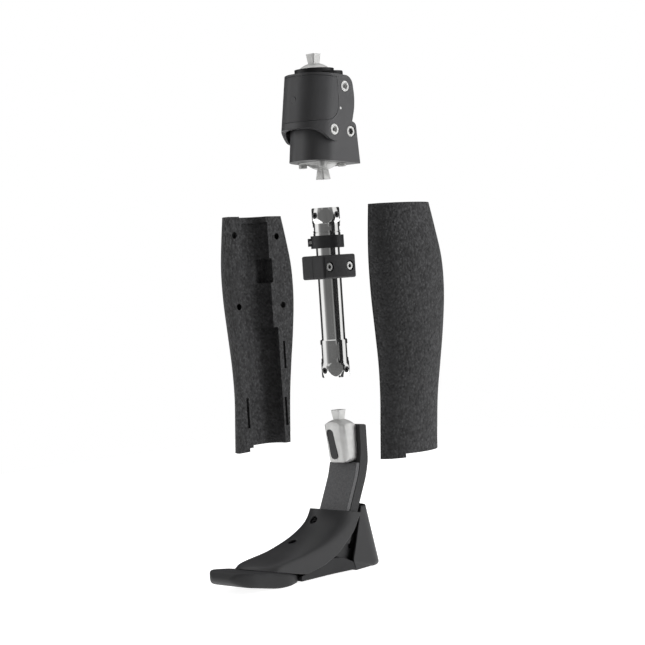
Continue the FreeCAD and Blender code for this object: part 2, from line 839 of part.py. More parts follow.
def pylon():
    tube()
    receiver("lower_receiver", "lower_receiver_length", "lower_flat_length", ("0", "0", "pylon_bottom"), "+Z", False)
    receiver("upper_receiver", "upper_receiver_length", "upper_flat_length", ("0", "0", "pylon_top"), "-Z", True)
    set_screws("lower_set_screws", "pylon_bottom + set_screw_height")
    set_screws("upper_set_screws", "pylon_top - set_screw_height")
    clamp_ring()
    clamp_screw()
    clamp_block("near_clamp_block", 1)
    clamp_block("far_clamp_block", -1)
    block_screws()
    block_nuts()
    return ["pylon_tube", "lower_receiver", "upper_receiver", "lower_set_screws", "upper_set_screws", "clamp_ring",
            "clamp_screw", "near_clamp_block", "far_clamp_block", "block_screws", "block_nuts"]


# Calf covers
DOWELS = (
    ("front_upper", "front_upper_dowel_front", "front_upper_dowel_height", "far"),
    ("rear_upper", "-rear_upper_dowel_rear", "rear_upper_dowel_height", "near"),
    ("front_lower", "front_lower_dowel_front", "front_lower_dowel_height", "near"),
    ("rear_lower", "-rear_lower_dowel_rear", "rear_lower_dowel_height", "far"),
)


def calf_form(name):
    """The calf's outer form: a loft through ellipses, longer than the covers at both ends."""
    rings = []
    for at in range(len(CALF_LEVELS)):
        front, rear = f"calf_front_{at}", f"calf_rear_{at}"
        ring = doc.addObject("Part::Ellipse", f"{name}_ring_{at}")
        bind(ring, MajorRadius=f"({front} + {rear}) / 2", MinorRadius=f"calf_half_{at}")
        middle = ("0", f"({rear} - {front}) / 2", f"calf_height_{at}")
        rings.append(place(ring, middle, Rotation(Vector(0, 0, 1), 90)))
    loft = doc.addObject("Part::Loft", f"{name}_loft")
    loft.Sections = rings
    loft.Solid = True
    return loft


def calf_cover(name, side):
    """One half of the calf, cut at x = 0, with a channel for the pylon and dowels for the other half."""
    inward, outward = ("-X", "+X") if side == "near" else ("+X", "-X")
    sign = "" if side == "near" else "-"
    trim = side_slab(f"{name}_trim", [
        ("-cover_reach", "cover_bottom + cover_bottom_slope"),
        ("cover_reach", "cover_bottom - cover_bottom_slope"),
        ("cover_reach", "cover_top + cover_top_slope"),
        ("-cover_reach", "cover_top - cover_top_slope"),
    ], "cover_reach")
    seam = "slip_fit / 2" if side == "near" else "-cover_reach - slip_fit / 2"
    half_space = box(f"{name}_half", "cover_reach", "2 * cover_reach", "cover_top + 50", (seam, "-cover_reach", "0"))
    form = common(f"{name}_form", calf_form(name), trim, half_space)
    hollows, pegs = cover_hollows(name), []
    for label, front, height, holed in DOWELS:
        if holed == side:
            hollows.append(cylinder(f"{name}_{label}_hole", "dowel_radius + dowel_gap", "dowel_length + 1",
                                    ("0", f"-({front})", height), outward))
        else:
            start = f"{sign}dowel_length"
            pegs.append(cylinder(f"{name}_{label}_peg", "dowel_radius", "2 * dowel_length",
                                 (start, f"-({front})", height), inward))
    hollowed = cut(f"{name}_hollowed", form, *hollows)
    return place(fuse(name, hollowed, *pegs), (f"{sign}{side}_cover_out", "0", "0"))


def cover_hollows(name):
    """What both halves lack: the pylon's channel, the clamp block's pocket and the lightening slots."""
    lip_bottom = "cover_top - channel_lip_height"
    block_width = "2 * (block_half_front + pocket_gap)"
    low = plan_slab(f"{name}_low_channel", [
        ("-channel_low_depth", "-channel_low_rear", "channel_low_rear_corner"),
        ("-channel_low_depth", "channel_low_front", "channel_low_front_corner"),
        ("channel_low_depth", "channel_low_front", "channel_low_front_corner"),
        ("channel_low_depth", "-channel_low_rear", "channel_low_rear_corner"),
    ], "cover_bottom - 20", "channel_step - cover_bottom + 20")
    return [
        low,
        cylinder(f"{name}_channel", "channel_radius", f"{lip_bottom} - channel_step + 1",
                 ("0", "0", "channel_step - 1")),
        cylinder(f"{name}_lip", "channel_lip_radius", "channel_lip_height * 3", ("0", "0", f"{lip_bottom} - 1")),
        centred_box(f"{name}_pocket", "2 * (block_half_side + pocket_gap)", block_width,
                    "block_height + 2 * pocket_gap", ("0", "0", "block_centre - block_height / 2 - pocket_gap")),
        centred_box(f"{name}_front_slot", "2 * slot_depth", "slot_width", "front_slot_height",
                    ("0", "-front_slot_front", "front_slot_bottom")),
        centred_box(f"{name}_rear_slot", "2 * slot_depth", "slot_width", "rear_slot_height",
                    ("0", "rear_slot_behind", "rear_slot_bottom")),
        centred_box(f"{name}_rear_notch", "2 * slot_depth", "slot_width", "rear_notch_height",
                    ("0", "rear_notch_behind", "rear_notch_bottom")),
        box(f"{name}_hem", "2 * cover_reach", "cover_reach * 2", "hem_height + 20",
            ("-cover_reach", "-hem_front", "cover_bottom - 20")),
    ]


def covers():
    calf_cover("near_cover", "near")
    calf_cover("far_cover", "far")
    return ["near_cover", "far_cover"]


# Foot
def leaning(front, height):
    """Where a layer of the blade stands at a height below its bend."""
    return f"({front}) + (blade_knee - ({height})) * blade_lean"


def layer_outline(front, rear, top):
    """Side outline of a layer of the blade, between the fronts of its two faces above the bend."""
    corners = []
    for face in (front, rear):
        straight = [
            (face, top),
            (face, "blade_knee", f"blade_bend - (({face}) - blade_front)"),
            (leaning(face, "blade_foot"), "blade_foot"),
        ]
        corners += straight if face == front else straight[::-1]
    return corners


def shank_blade():
    """The blade: upright under the adapter, then bent to lean forward into the foot."""
    slab = side_slab("blade_slab", layer_outline("blade_front", "blade_front - blade_thickness", "blade_top"),
                     "blade_half")
    eased = rounded("blade_eased", slab, "blade_rear_round", is_blade_rear_edge)
    return cut("shank_blade", eased, *adapter_bolt_rods("blade_bolt_hole", "adapter_bolt_radius + slip_fit"))


def is_blade_rear_edge(edge):
    """True for the two upright edges behind the blade's straight part."""
    box_of = edge.BoundBox
    return box_of.YMin > number("blade_thickness - blade_front - 0.01") - 0.01 and box_of.XLength < 0.01


def shank_facing():
    """A second, thinner layer in front of the blade below its bend."""
    slab = side_slab("facing_slab", layer_outline("blade_front + slip_fit + facing_thickness",
                                                  "blade_front + slip_fit", "blade_top"), "blade_half")
    keep = box("facing_keep", "4 * blade_half", "4 * blade_half", "facing_top",
               ("-2 * blade_half", "-3 * blade_half", "0"))
    return common("shank_facing", slab, keep)


def adapter_bolt_rods(name, radius):
    """Rods where the two bolts run from behind the blade into the adapter."""
    rear = "blade_thickness - blade_front"
    return [
        cylinder(f"{name}_{at}", radius, "blade_thickness + 8", ("0", f"{rear} + 1", height), "-Y")
        for at, height in enumerate(("adapter_bolt_low", "adapter_bolt_high"))
    ]


def foot_adapter():
    """A block on the blade's face, with a slanted slot, a sloped front and a pyramid on its domed top."""
    rear = "blade_front + slip_fit"
    slab = side_slab("adapter_slab", [
        (rear, "adapter_bottom"),
        ("adapter_low_front", "adapter_bottom", "2"),
        ("adapter_front", "adapter_shoulder"),
        ("adapter_front", "foot_apex"),
        (rear, "foot_apex"),
    ], "adapter_half")
    eased = rounded("adapter_eased", slab, "adapter_corner", is_adapter_front_edge)
    crown = ball("adapter_crown", "dome_radius", ("0", "0", "foot_apex - dome_radius"))
    below = centred_box("adapter_below", "4 * adapter_half", "4 * adapter_half", "adapter_shoulder - adapter_bottom",
                        ("0", "0", "adapter_bottom"))
    domed = common("adapter_domed", eased, fuse("adapter_keep", crown, below))
    behind = side_slab("adapter_behind", layer_outline("blade_front + slip_fit", "blade_front - blade_thickness",
                                                       "foot_apex + 20"), "2 * adapter_half")
    bored = cut("adapter_bored", domed, adapter_slot(), behind,
                *adapter_bolt_rods("adapter_bolt_hole", "adapter_bolt_radius + slip_fit"))
    return fuse("foot_adapter", bored, pyramid_post("foot_post", "foot_apex", "+Z"))


def is_adapter_front_edge(edge):
    """True for the four long edges up the adapter's front."""
    box_of = edge.BoundBox
    return box_of.XLength < 0.01 and box_of.YMax < number("-adapter_low_front") + 2.1 and box_of.ZLength > 8


def adapter_slot():
    """A round-ended slot that leans across the adapter's front."""
    owner = body("adapter_slot")
    half, corner = "adapter_slot_width / 2", "adapter_slot_width * 0.48"
    drawing = outline(sketch(owner, "adapter_slot_profile", "XZ_Plane"), [
        (f"adapter_slot_bottom_side - {half}", "adapter_slot_bottom", corner),
        (f"adapter_slot_bottom_side + {half}", "adapter_slot_bottom", corner),
        (f"adapter_slot_top_side + {half}", "adapter_slot_top", corner),
        (f"adapter_slot_top_side - {half}", "adapter_slot_top", corner),
    ])
    feature = owner.newObject("PartDesign::Pad", "adapter_slot_pad")
    feature.Profile = drawing
    bind(feature, Length="2 * adapter_slot_depth")
    return place(owner, ("0", "adapter_slot_depth - adapter_front", "0"))


def adapter_bolts():
    """Two bolts from behind that hold the adapter to the blade."""
    rear = "blade_thickness - blade_front"
    return group("adapter_bolts", *[
        cap_screw(f"adapter_bolt_{at}", ("0", f"{rear} + slip_fit", height), "+Y", "adapter_bolt_radius",
                  "blade_thickness + 6", "adapter_bolt_head_radius", "adapter_bolt_head_height", "2.9")
        for at, height in enumerate(("adapter_bolt_low", "adapter_bolt_high"))
    ])


def heel_cup():
    """The heel: a thick floor and a thin wall round the back, open to the front and the top."""
    def level(height, half, rear, inset):
        corners = d_section(f"{half} - {inset}", "heel_front_foot * 3", f"{rear} - {inset}", "2",
                            f"heel_corner - {inset}")
        return height, corners
    outer = lofted("heel_outer", [
        level("0", "heel_half", "heel_rear", "0"),
        level("heel_top", "heel_top_half", "heel_top_rear", "0"),
    ])
    inner = lofted("heel_inner", [
        level("heel_floor", "heel_half - 0.8", "heel_rear - 1.9", "heel_wall"),
        level("heel_top + 5", "heel_top_half - 0.4", "heel_top_rear - 0.9", "heel_wall"),
    ])
    keep = side_slab("heel_keep", [
        ("-2 * heel_rear", "0"),
        ("heel_front_foot", "0"),
        ("heel_front_foot + 3", "14", "8"),
        ("heel_front_foot - 2", "26", "20"),
        ("heel_front_top", "heel_top"),
        ("-2 * heel_rear", "heel_top"),
    ], "2 * heel_half")
    eased = rounded("heel_eased", common("heel_blank", outer, keep), "heel_edge", is_heel_floor_edge)
    return cut("heel_cup", eased, inner)


def is_heel_floor_edge(edge):
    """True for the edges round the heel's underside, but not the one in front."""
    box_of = edge.BoundBox
    return box_of.ZMax < 0.01 and box_of.YMax > number("-heel_front_foot") + 0.1


def waist_sole():
    """The middle of the sole, arched on top and just clear of the floor."""
    side = side_slab("waist_side", [
        ("heel_front_foot + seam_gap + 0.4", "waist_arch"),
        ("waist_front", "waist_arch"),
        ("waist_front", "8"),
        ("waist_front - 22", "14", "30"),
        ("waist_front - 60", "waist_top", "50"),
        ("heel_front_foot + 22", "waist_top - 2", "20"),
        ("heel_front_foot + 4.2", "12"),
    ], "sole_half")
    plan = plan_slab("waist_plan", [
        ("-sole_half + 1", "heel_front_foot"),
        ("-sole_half + 3", "waist_front / 2", "120"),
        ("-sole_half", "waist_front + 1"),
        ("sole_half", "waist_front + 1"),
        ("sole_half - 3", "waist_front / 2", "120"),
        ("sole_half - 1", "heel_front_foot"),
    ], "0", "2 * waist_top")
    return common("waist_sole", side, plan)


def toe_pad():
    """The pad under the ball and toes: flat under the ball, then rising to the toe."""
    side = side_slab("pad_side", [
        ("pad_rear", "0"),
        ("pad_flat_end", "0", "80"),
        ("pad_tip - 15", "10", "30"),
        ("pad_tip", "pad_tip_height", "4"),
        ("pad_tip - 7", "pad_top", "9"),
        ("pad_flat_end + 17", "pad_top - 3", "80"),
        ("pad_rear", "pad_rear_thickness"),
    ], "2 * pad_half")
    plan = plan_slab("pad_plan", [
        ("-pad_rear_half", "pad_rear - 1"),
        ("-pad_half", "pad_widest", "30"),
        ("-pad_toe_half", "pad_tip", "pad_toe_corner"),
        ("pad_toe_half", "pad_tip", "pad_toe_corner"),
        ("pad_half", "pad_widest", "30"),
        ("pad_rear_half", "pad_rear - 1"),
    ], "0", "2 * pad_top")
    return common("toe_pad", side, plan)


def keel():
    """The inner keel: it seats the blade's foot and carries the two instep screws and the toe spring."""
    blade_rear = "blade_front - blade_thickness"
    facing_front = "blade_front + facing_thickness + slip_fit"
    spring_top = "pad_top - keel_toe_sink + keel_toe_thickness"
    slab = side_slab("keel_slab", [
        ("-keel_rear", "heel_floor + seat_gap"),
        ("heel_front_foot + 2", "heel_floor + seat_gap"),
        ("heel_front_foot + 4.4", "12 + 2 * seat_gap"),
        ("heel_front_foot + 22", "waist_top - 2 + seat_gap"),
        ("waist_front - 60", "waist_top + seat_gap", "30"),
        ("waist_front - 22", "14 + seat_gap"),
        ("pad_rear + 1", "pad_rear_thickness + 2 * seat_gap", "40"),
        ("keel_toe", "pad_top - keel_toe_sink"),
        ("keel_toe", spring_top),
        ("pad_rear + 1", "18.5", "60"),
        ("waist_front - 25", "24", "60"),
        ("waist_front - 51", "33"),
        (f"{leaning(facing_front, '52')} + 13", "52", "3"),
        (f"{leaning(facing_front, '52')} + seat_gap", "52"),
        (f"{leaning(facing_front, 'blade_foot - seat_gap')} + seat_gap", "blade_foot - seat_gap"),
        (f"{leaning(blade_rear, 'blade_foot - seat_gap')} - seat_gap", "blade_foot - seat_gap"),
        (f"{leaning(blade_rear, '62')} - seat_gap", "62"),
        (f"{leaning(blade_rear, '62')} - 8", "62", "3"),
        ("-keel_rear + 8", "40", "20"),
    ], "keel_half")
    bosses = [
        instep_rod("keel_boss_high", "instep_boss_radius", "high", "instep_head_sink + 0.4", "high_screw_length"),
        instep_rod("keel_boss_low", "instep_boss_radius", "low", "instep_head_sink + 0.4", "low_screw_length"),
    ]
    bores = [
        instep_rod("keel_bore_high", "instep_shank_radius + slip_fit", "high", "0", "high_screw_length + 6"),
        instep_rod("keel_bore_low", "instep_shank_radius + slip_fit", "low", "0", "low_screw_length + 6"),
    ]
    return cut("keel", fuse("keel_solid", slab, *bosses), *bores, *keel_cells())


def keel_cells():
    """Rows of cells let into both flanks of the keel."""
    cells = []
    for row, low in enumerate(("heel_floor + 5", "heel_floor + 5 + keel_cell + keel_web")):
        for at in range(3 if row else 2):
            front = f"-keel_rear + 6 + {at} * (keel_cell + keel_web)"
            for side, start in (("near", "keel_half - keel_cell_depth"), ("far", "-keel_half - 1")):
                cells.append(box(f"keel_cell_{side}_{row}_{at}", "keel_cell_depth + 1", "keel_cell", "keel_cell",
                                 (start, f"-({front}) - keel_cell", low)))
    return cells


# Turns about X that lay Z along the outward run of each instep screw.
INSTEP_TURNS = {"high": Rotation(Vector(1, 0, 0), 45), "low": Rotation(Vector(1, 0, 0), 18)}


def instep_rod(name, radius, which, sink, reach):
    """A rod along an instep screw: from a depth below the cover's surface down to its reach."""
    rod = cylinder(f"{name}_rod", radius, f"({reach}) - ({sink})", ("0", "0", f"-({reach})"))
    return place(group(name, rod), ("0", f"-{which}_hole_front", f"{which}_hole_height"), INSTEP_TURNS[which])


def instep_screws():
    screws = []
    for which in ("high", "low"):
        length = f"{which}_screw_length - instep_head_sink"
        shank = cylinder(f"instep_{which}_shank", "instep_shank_radius", f"{length} + 0.1",
                         ("0", "0", f"-{which}_screw_length"))
        head = cylinder(f"instep_{which}_head", "instep_head_radius", "instep_head_height",
                        ("0", "0", "-instep_head_sink + 0.05"))
        drive = hexagon(f"instep_{which}_drive", "2.2", "instep_head_height", ("0", "0", "-instep_head_height / 2"))
        screw = cut(f"instep_{which}_screw", fuse(f"instep_{which}_blank", shank, head), drive)
        screws.append(place(screw, ("0", f"-{which}_hole_front", f"{which}_hole_height"), INSTEP_TURNS[which]))
    return group("instep_screws", *screws)


def instep_form(name, inset, drop):
    """The top of the foot, lofted upward through plan sections that draw back toward the ankle."""
    sections = []
    for at in range(len(INSTEP_LEVELS)):
        corners = d_section(f"instep_half_{at} - {inset}", f"instep_front_{at} - {inset}", "20",
                            f"instep_corner_{at} - {inset}")
        sections.append((f"instep_height_{at} - {drop}", corners))
    return lofted(name, sections, ruled=False)


def instep_cover():
    """A thin shell over the instep, open behind and below, with two recessed screw holes."""
    outer = instep_form("instep_outer", "0", "0")
    inner = instep_form("instep_inner", "instep_wall", "instep_wall")
    keep = side_slab("instep_keep", [
        ("instep_rim_rear", "instep_rim - instep_rim_slope"),
        ("20", "50", "30"),
        ("50", "26", "60"),
        ("75", "16", "60"),
        ("105", "10.6", "20"),
        ("pad_rear", "pad_rear_thickness + 1.6"),
        ("200", "30"),
        ("200", "instep_rim"),
        ("52", "instep_rim"),
    ], "2 * pad_half")
    shell = cut("instep_shell", common("instep_blank", outer, keep), inner)
    holes = [instep_rod(f"instep_hole_{which}", "instep_hole_radius", which, "-5", "14") for which in ("high", "low")]
    return cut("instep_cover", shell, *holes)


def foot():
    heel_cup()
    waist_sole()
    toe_pad()
    keel()
    shank_blade()
    shank_facing()
    instep_cover()
    instep_screws()
    foot_adapter()
    adapter_bolts()
    return ["heel_cup", "waist_sole", "toe_pad", "keel", "shank_blade", "shank_facing", "instep_cover",
            "instep_screws", "foot_adapter", "adapter_bolts"]


# Knee
def pivot_rod(name, pivot, radius, inner, outer):
    """A pair of rods on a pivot, from an inner to an outer distance to each side of the middle."""
    at = f"-{pivot}_pivot_front", f"{pivot}_pivot_height"
    return group(name, *[
        cylinder(f"{name}_{side}", radius, f"({outer}) - ({inner})", (f"{sign}({inner})", *at), along)
        for side, sign, along in (("near", "", "+X"), ("far", "-", "-X"))
    ])


def through_rod(name, pivot, radius, half):
    """One rod on a pivot, centred on the middle."""
    return cylinder(name, radius, f"2 * ({half})", (f"-({half})", f"-{pivot}_pivot_front", f"{pivot}_pivot_height"),
                    "+X")


def bushes(name, pivot, inner, outer):
    """A pair of plain bushes on a pivot."""
    outside = pivot_rod(f"{name}_outside", pivot, "axle_radius + bush_wall", inner, outer)
    inside = through_rod(f"{name}_inside", pivot, "axle_radius + slip_fit", f"({outer}) + 1")
    return cut(name, outside, inside)


def axle(name, pivot, radius, half):
    """An axle through both sides, threaded hollow at its two ends for its screws."""
    rod = through_rod(f"{name}_rod", pivot, radius, half)
    thread = pivot_rod(f"{name}_thread", pivot, "axle_thread_radius + slip_fit", f"{half} - axle_thread_length - 1",
                       f"{half} + 1")
    return cut(name, rod, thread)


def axle_screws(name, pivot, seat):
    """A flat-headed screw in each end of an axle, seated at a distance from the middle."""
    return group(name, *[
        cap_screw(f"{name}_{side}", (f"{sign}({seat})", f"-{pivot}_pivot_front", f"{pivot}_pivot_height"), along,
                  "axle_thread_radius", "axle_thread_length", "axle_head_radius", "axle_head_height",
                  "axle_head_socket")
        for side, sign, along in (("near", "", "+X"), ("far", "-", "-X"))
    ])


def knee_housing():
    """The lower link: a housing with a slot for the rear link, a seat below and two crossing bores."""
    form = lofted("housing_form", [
        ("housing_low", d_section("housing_half", "housing_front_low", "housing_rear_low", "housing_corner",
                                  "housing_rear_corner")),
        ("housing_high", d_section("housing_half", "housing_front_high", "housing_rear_high", "housing_corner",
                                   "housing_rear_corner")),
    ])
    keep = side_slab("housing_keep", [
        ("housing_front_low + 9", "housing_rim_front"),
        ("housing_front_low + 9", "housing_top"),
        ("0", "housing_top"),
        ("rear_pivot_front + rear_ear_radius", "rear_pivot_height + rear_ear_radius + 0.2"),
        ("rear_pivot_front - rear_ear_radius - 0.2", "rear_pivot_height + rear_ear_radius + 0.2", "rear_ear_radius"),
        ("rear_pivot_front - rear_ear_radius - 0.9", "rear_pivot_height - rear_ear_radius"),
        ("-housing_rear_low - 0.1", "housing_rim_rear"),
    ], "2 * housing_half")
    slot = centred_box("housing_slot", "2 * link_slot_half", "link_slot_front + housing_rear_low * 2",
                       "2 * housing_half", ("0", "housing_rear_low - link_slot_front / 2", "link_slot_floor"))
    seat = plan_slab("housing_seat", [
        ("-flange_half - seat_gap", "-flange_half - seat_gap", "flange_corner"),
        ("-flange_half - seat_gap", "flange_half + seat_gap", "flange_corner"),
        ("flange_half + seat_gap", "flange_half + seat_gap", "flange_corner"),
        ("flange_half + seat_gap", "-flange_half - seat_gap", "flange_corner"),
    ], "flange_top - 30", "30")
    pocket = plan_slab("housing_pocket", [
        ("-housing_pocket_half", "housing_pocket_rear", "4"),
        ("-housing_pocket_half", "housing_front_high - 6", "housing_corner - 14"),
        ("housing_pocket_half", "housing_front_high - 6", "housing_corner - 14"),
        ("housing_pocket_half", "housing_pocket_rear", "4"),
    ], "housing_pocket_floor", "2 * housing_half")
    rear_recess = pivot_rod("housing_rear_recess", "rear", "axle_head_radius + head_recess_gap", "rear_axle_half",
                            "2 * housing_half")
    return cut("knee_housing", common("housing_blank", form, keep), slot, seat, pocket, rear_recess,
               through_rod("housing_front_bore", "front", "axle_radius + bush_wall", "2 * housing_half"),
               through_rod("housing_rear_bore", "rear", "rear_axle_radius", "2 * housing_half"),
               *flange_holes("housing_hole", "flange_screw_length + 1"))


def flange_holes(name, length):
    """Four holes where the flange's screws run up into the housing."""
    return [
        cylinder(f"{name}_{at}", "flange_screw_radius + slip_fit", f"{length} + flange_thickness + 2",
                 (f"{side} * flange_screw_half", f"{front} * flange_screw_half", "flange_top - flange_thickness - 1"))
        for at, (side, front) in enumerate(CORNERS)
    ]


def knee_adapter():
    """A square flange under the housing, with a pyramid that points down."""
    flange = plan_slab("knee_flange", [
        ("-flange_half", "-flange_half", "flange_corner"),
        ("-flange_half", "flange_half", "flange_corner"),
        ("flange_half", "flange_half", "flange_corner"),
        ("flange_half", "-flange_half", "flange_corner"),
    ], "flange_top - flange_thickness", "flange_thickness")
    neck = cylinder("knee_neck", "dome_base_radius", f"flange_top - flange_thickness - knee_apex - {DOME_RISE} + 0.2",
                    ("0", "0", f"knee_apex + {DOME_RISE} - 0.1"))
    holed = cut("knee_flange_holed", flange, *flange_holes("flange_hole", "2"))
    return fuse("knee_adapter", holed, neck, domed_pyramid("knee_pyramid", "knee_apex", "-Z"))


def flange_screws():
    return group("flange_screws", *[
        cap_screw(f"flange_screw_{at}", (f"{side} * flange_screw_half", f"{front} * flange_screw_half",
                                         "flange_top - flange_thickness"), "-Z", "flange_screw_radius",
                  "flange_screw_length", "flange_head_radius", "flange_head_height", "flange_head_socket")
        for at, (side, front) in enumerate(CORNERS)
    ])


def shell_form(name, inset, front_inset, corner_inset):
    """The shell's form, set in by a distance at its sides, at its front and at its corner radius."""
    def level(height, front):
        return height, d_section(f"shell_half - ({inset})", f"{front} - ({front_inset})", "shell_open_rear",
                                 f"shell_corner - ({corner_inset})")
    return lofted(name, [level("shell_low", "shell_front_low"), level("shell_high", "shell_front_high")])


def shell_outline():
    """Side outline of the shell: its rim, the upper ear, the waist, the front ear and the sweep to the front."""
    upper_rear = "upper_pivot_front - upper_ear_radius"
    lower_rear, lower_front = "front_pivot_front - front_ear_radius", "front_pivot_front + front_ear_radius"
    return [
        ("shell_front_low + 5", "shell_rim_front + 1"),
        (upper_rear, "shell_rim_rear - 2", "upper_ear_radius * 0.9"),
        (f"{upper_rear} - 2", "upper_pivot_height - 18", "60"),
        ("-20", "front_pivot_height + 9", "4"),
        (f"{lower_rear} - 2", "front_pivot_height + 7", "3"),
        (lower_rear, "front_pivot_height - front_ear_radius", "front_ear_radius - 0.3"),
        (lower_front, "front_pivot_height - front_ear_radius", "front_ear_radius - 0.3"),
        (f"{lower_front} + 2", "shell_bottom - 3", "6"),
        ("shell_front_low + 5", "shell_bottom - 1"),
    ]


def link_frame():
    """The front link: a shell round the front and both sides, with an ear on each pivot."""
    outer = shell_form("shell_outer", "0", "0", "0")
    wall = "shell_half - shell_inner_half"
    inner = shell_form("shell_inner", wall, "shell_front_wall", f"{wall} + 1")
    keep = side_slab("shell_keep", shell_outline(), "2 * shell_half")
    blank = cut("shell_blank", common("shell_kept", outer, keep), inner)
    tools = [
        pad_zone("frame_pad_zone"),
        through_rod("frame_front_bore", "front", "axle_radius", "2 * shell_half"),
        through_rod("frame_upper_bore", "upper", "axle_radius", "2 * shell_half"),
        mark_rods("frame_mark_holes", "mark_radius + slip_fit"),
    ]
    for pivot in ("front", "upper"):
        tools.append(pivot_rod(f"frame_{pivot}_recess", pivot, "axle_head_radius + head_recess_gap",
                               "shell_half - head_recess_depth", "shell_half + 5"))
    return cut("link_frame", blank, *tools)


# Where the shell's sloping front stands at the plug's height.
SHELL_FRONT_AT_PLUG = ("shell_front_low - (shell_front_low - shell_front_high) * (plug_height - shell_low)"
                       " / (shell_high - shell_low)")


def pad_zone(name):
    """The layer of the shell that the front pad takes up."""
    outer = shell_form(f"{name}_outer", "-1", "-1", "-1")
    inner = shell_form(f"{name}_inner", "pad_depth", "pad_front_depth", "pad_depth")
    keep = side_slab(f"{name}_keep", [
        ("shell_front_low + 9", "pad_top_front"),
        ("pad_side_front", "pad_top_side", "3"),
        ("pad_side_front", "pad_bottom", "pad_side_corner"),
        ("shell_front_low + 9", "pad_bottom"),
    ], "2 * shell_half")
    return cut(name, common(f"{name}_kept", outer, keep), inner)


def front_pad():
    """A soft pad let into the shell's front, flush with it."""
    form = shell_form("pad_form", "0", "0", "0")
    keep = side_slab("pad_rim_keep", shell_outline(), "2 * shell_half")
    zone = pad_zone("pad_layer")
    return cut("front_pad", common("pad_blank", form, keep, zone), plug_rod("pad_plug_hole", "plug_radius + slip_fit"))


def plug_rod(name, radius):
    """A rod through the pad where its round plug sits."""
    depth = "pad_front_depth + plug_proud - plug_lift"
    back = f"-({SHELL_FRONT_AT_PLUG}) + pad_front_depth - plug_lift"
    return cylinder(name, radius, depth, ("0", back, "plug_height"), "-Y")


def mark_rods(name, radius):
    """A small disc on each side of the shell, level with its seat."""
    return group(name, *[
        cylinder(f"{name}_{side}", radius, "mark_depth", (f"{sign}(shell_half - mark_depth + 0.1)", "-mark_front",
                                                          "mark_height"), along)
        for side, sign, along in (("near", "", "+X"), ("far", "-", "-X"))
    ])


def thigh_block():
    """The upper link: a compact block slotted for the rear link, under a round crown."""
    slab = side_slab("thigh_slab", [
        ("-thigh_rear", "thigh_low", "6"),
        ("-thigh_rear", "upper_pivot_height + 16", "4"),
        ("-thigh_rear + 11", "crown_top - crown_height + 2"),
        ("thigh_neck_front", "crown_top - crown_height + 2"),
        ("thigh_neck_front", "thigh_low", "6"),
    ], "thigh_half")
    plan = plan_slab("thigh_plan", [
        ("-thigh_half", "-thigh_rear - 5"),
        ("-thigh_half", "thigh_neck_front", "20"),
        ("thigh_half", "thigh_neck_front", "20"),
        ("thigh_half", "-thigh_rear - 5"),
    ], "thigh_low - 5", "70")
    crown = cylinder("thigh_crown", "crown_radius", "crown_height", ("0", "-crown_front", "crown_top - crown_height"))
    slot = side_slab("thigh_slot", [
        ("-2 * thigh_rear", "thigh_low - 5"),
        ("hidden_pivot_front + 11", "thigh_low - 5"),
        ("hidden_pivot_front + 11", "hidden_pivot_height + 11", "8"),
        ("hidden_pivot_front - 2", "hidden_pivot_height + 11"),
        ("-2 * thigh_rear", "hidden_pivot_height + 26"),
    ], "thigh_slot_half")
    spigot = cylinder("thigh_spigot_hole", "upper_spigot_radius + slip_fit", "upper_spigot_depth + 1",
                      ("0", "-crown_front", "crown_top - upper_spigot_depth"))
    return cut("thigh_block", fuse("thigh_solid", common("thigh_shaped", slab, plan), crown), slot, spigot,
               pivot_rod("thigh_bush_bore", "upper", "axle_radius + bush_wall", "stub_inner - 0.5", "thigh_half + 1"),
               through_rod("thigh_pin_bore", "hidden", "hidden_pin_radius", "hidden_pin_half"),
               crown_rod("thigh_bolt_hole", "3.05", "crown_bolt_length + 0.2"))


def crown_rod(name, radius, length):
    """A rod into the crown from behind, at the height where the spigot is clamped."""
    rear = "crown_radius - crown_front"
    return cylinder(name, radius, length, ("0", rear, "crown_top - crown_height / 2"), "-Y")


def upper_adapter():
    """The pyramid that the thigh socket goes on, on a spigot in the crown."""
    spigot = cylinder("upper_spigot", "upper_spigot_radius", "upper_spigot_depth + 0.5",
                      ("0", "0", "crown_top - upper_spigot_depth"))
    neck = cylinder("upper_neck", "dome_base_radius", f"upper_apex - crown_top - {DOME_RISE} + 0.1",
                    ("0", "0", "crown_top + 0.05"))
    whole = fuse("upper_adapter_solid", spigot, neck, domed_pyramid("upper_pyramid", "upper_apex", "+Z"))
    return place(group("upper_adapter", whole), ("0", "-crown_front", "0"))


def crown_bolt():
    """A set screw from behind that clamps the adapter's spigot."""
    rod = crown_rod("crown_bolt_rod", "3", "crown_bolt_length")
    drive = hexagon("crown_bolt_drive", "1.8", "3", ("0", "crown_radius - crown_front - 2",
                                                     "crown_top - crown_height / 2"), "+Y")
    return cut("crown_bolt", rod, drive)


def extension_stop():
    """A rubber buffer on the block's front that meets the shell when the knee is straight."""
    front = "thigh_neck_front + stop_length"
    height = "stop_height"
    buffer_block = box("stop_block", "stop_width", "stop_length", height,
                       ("-stop_width / 2", f"-({front})", "stop_low"))
    return rounded("extension_stop", buffer_block, "2", runs_along("z"))


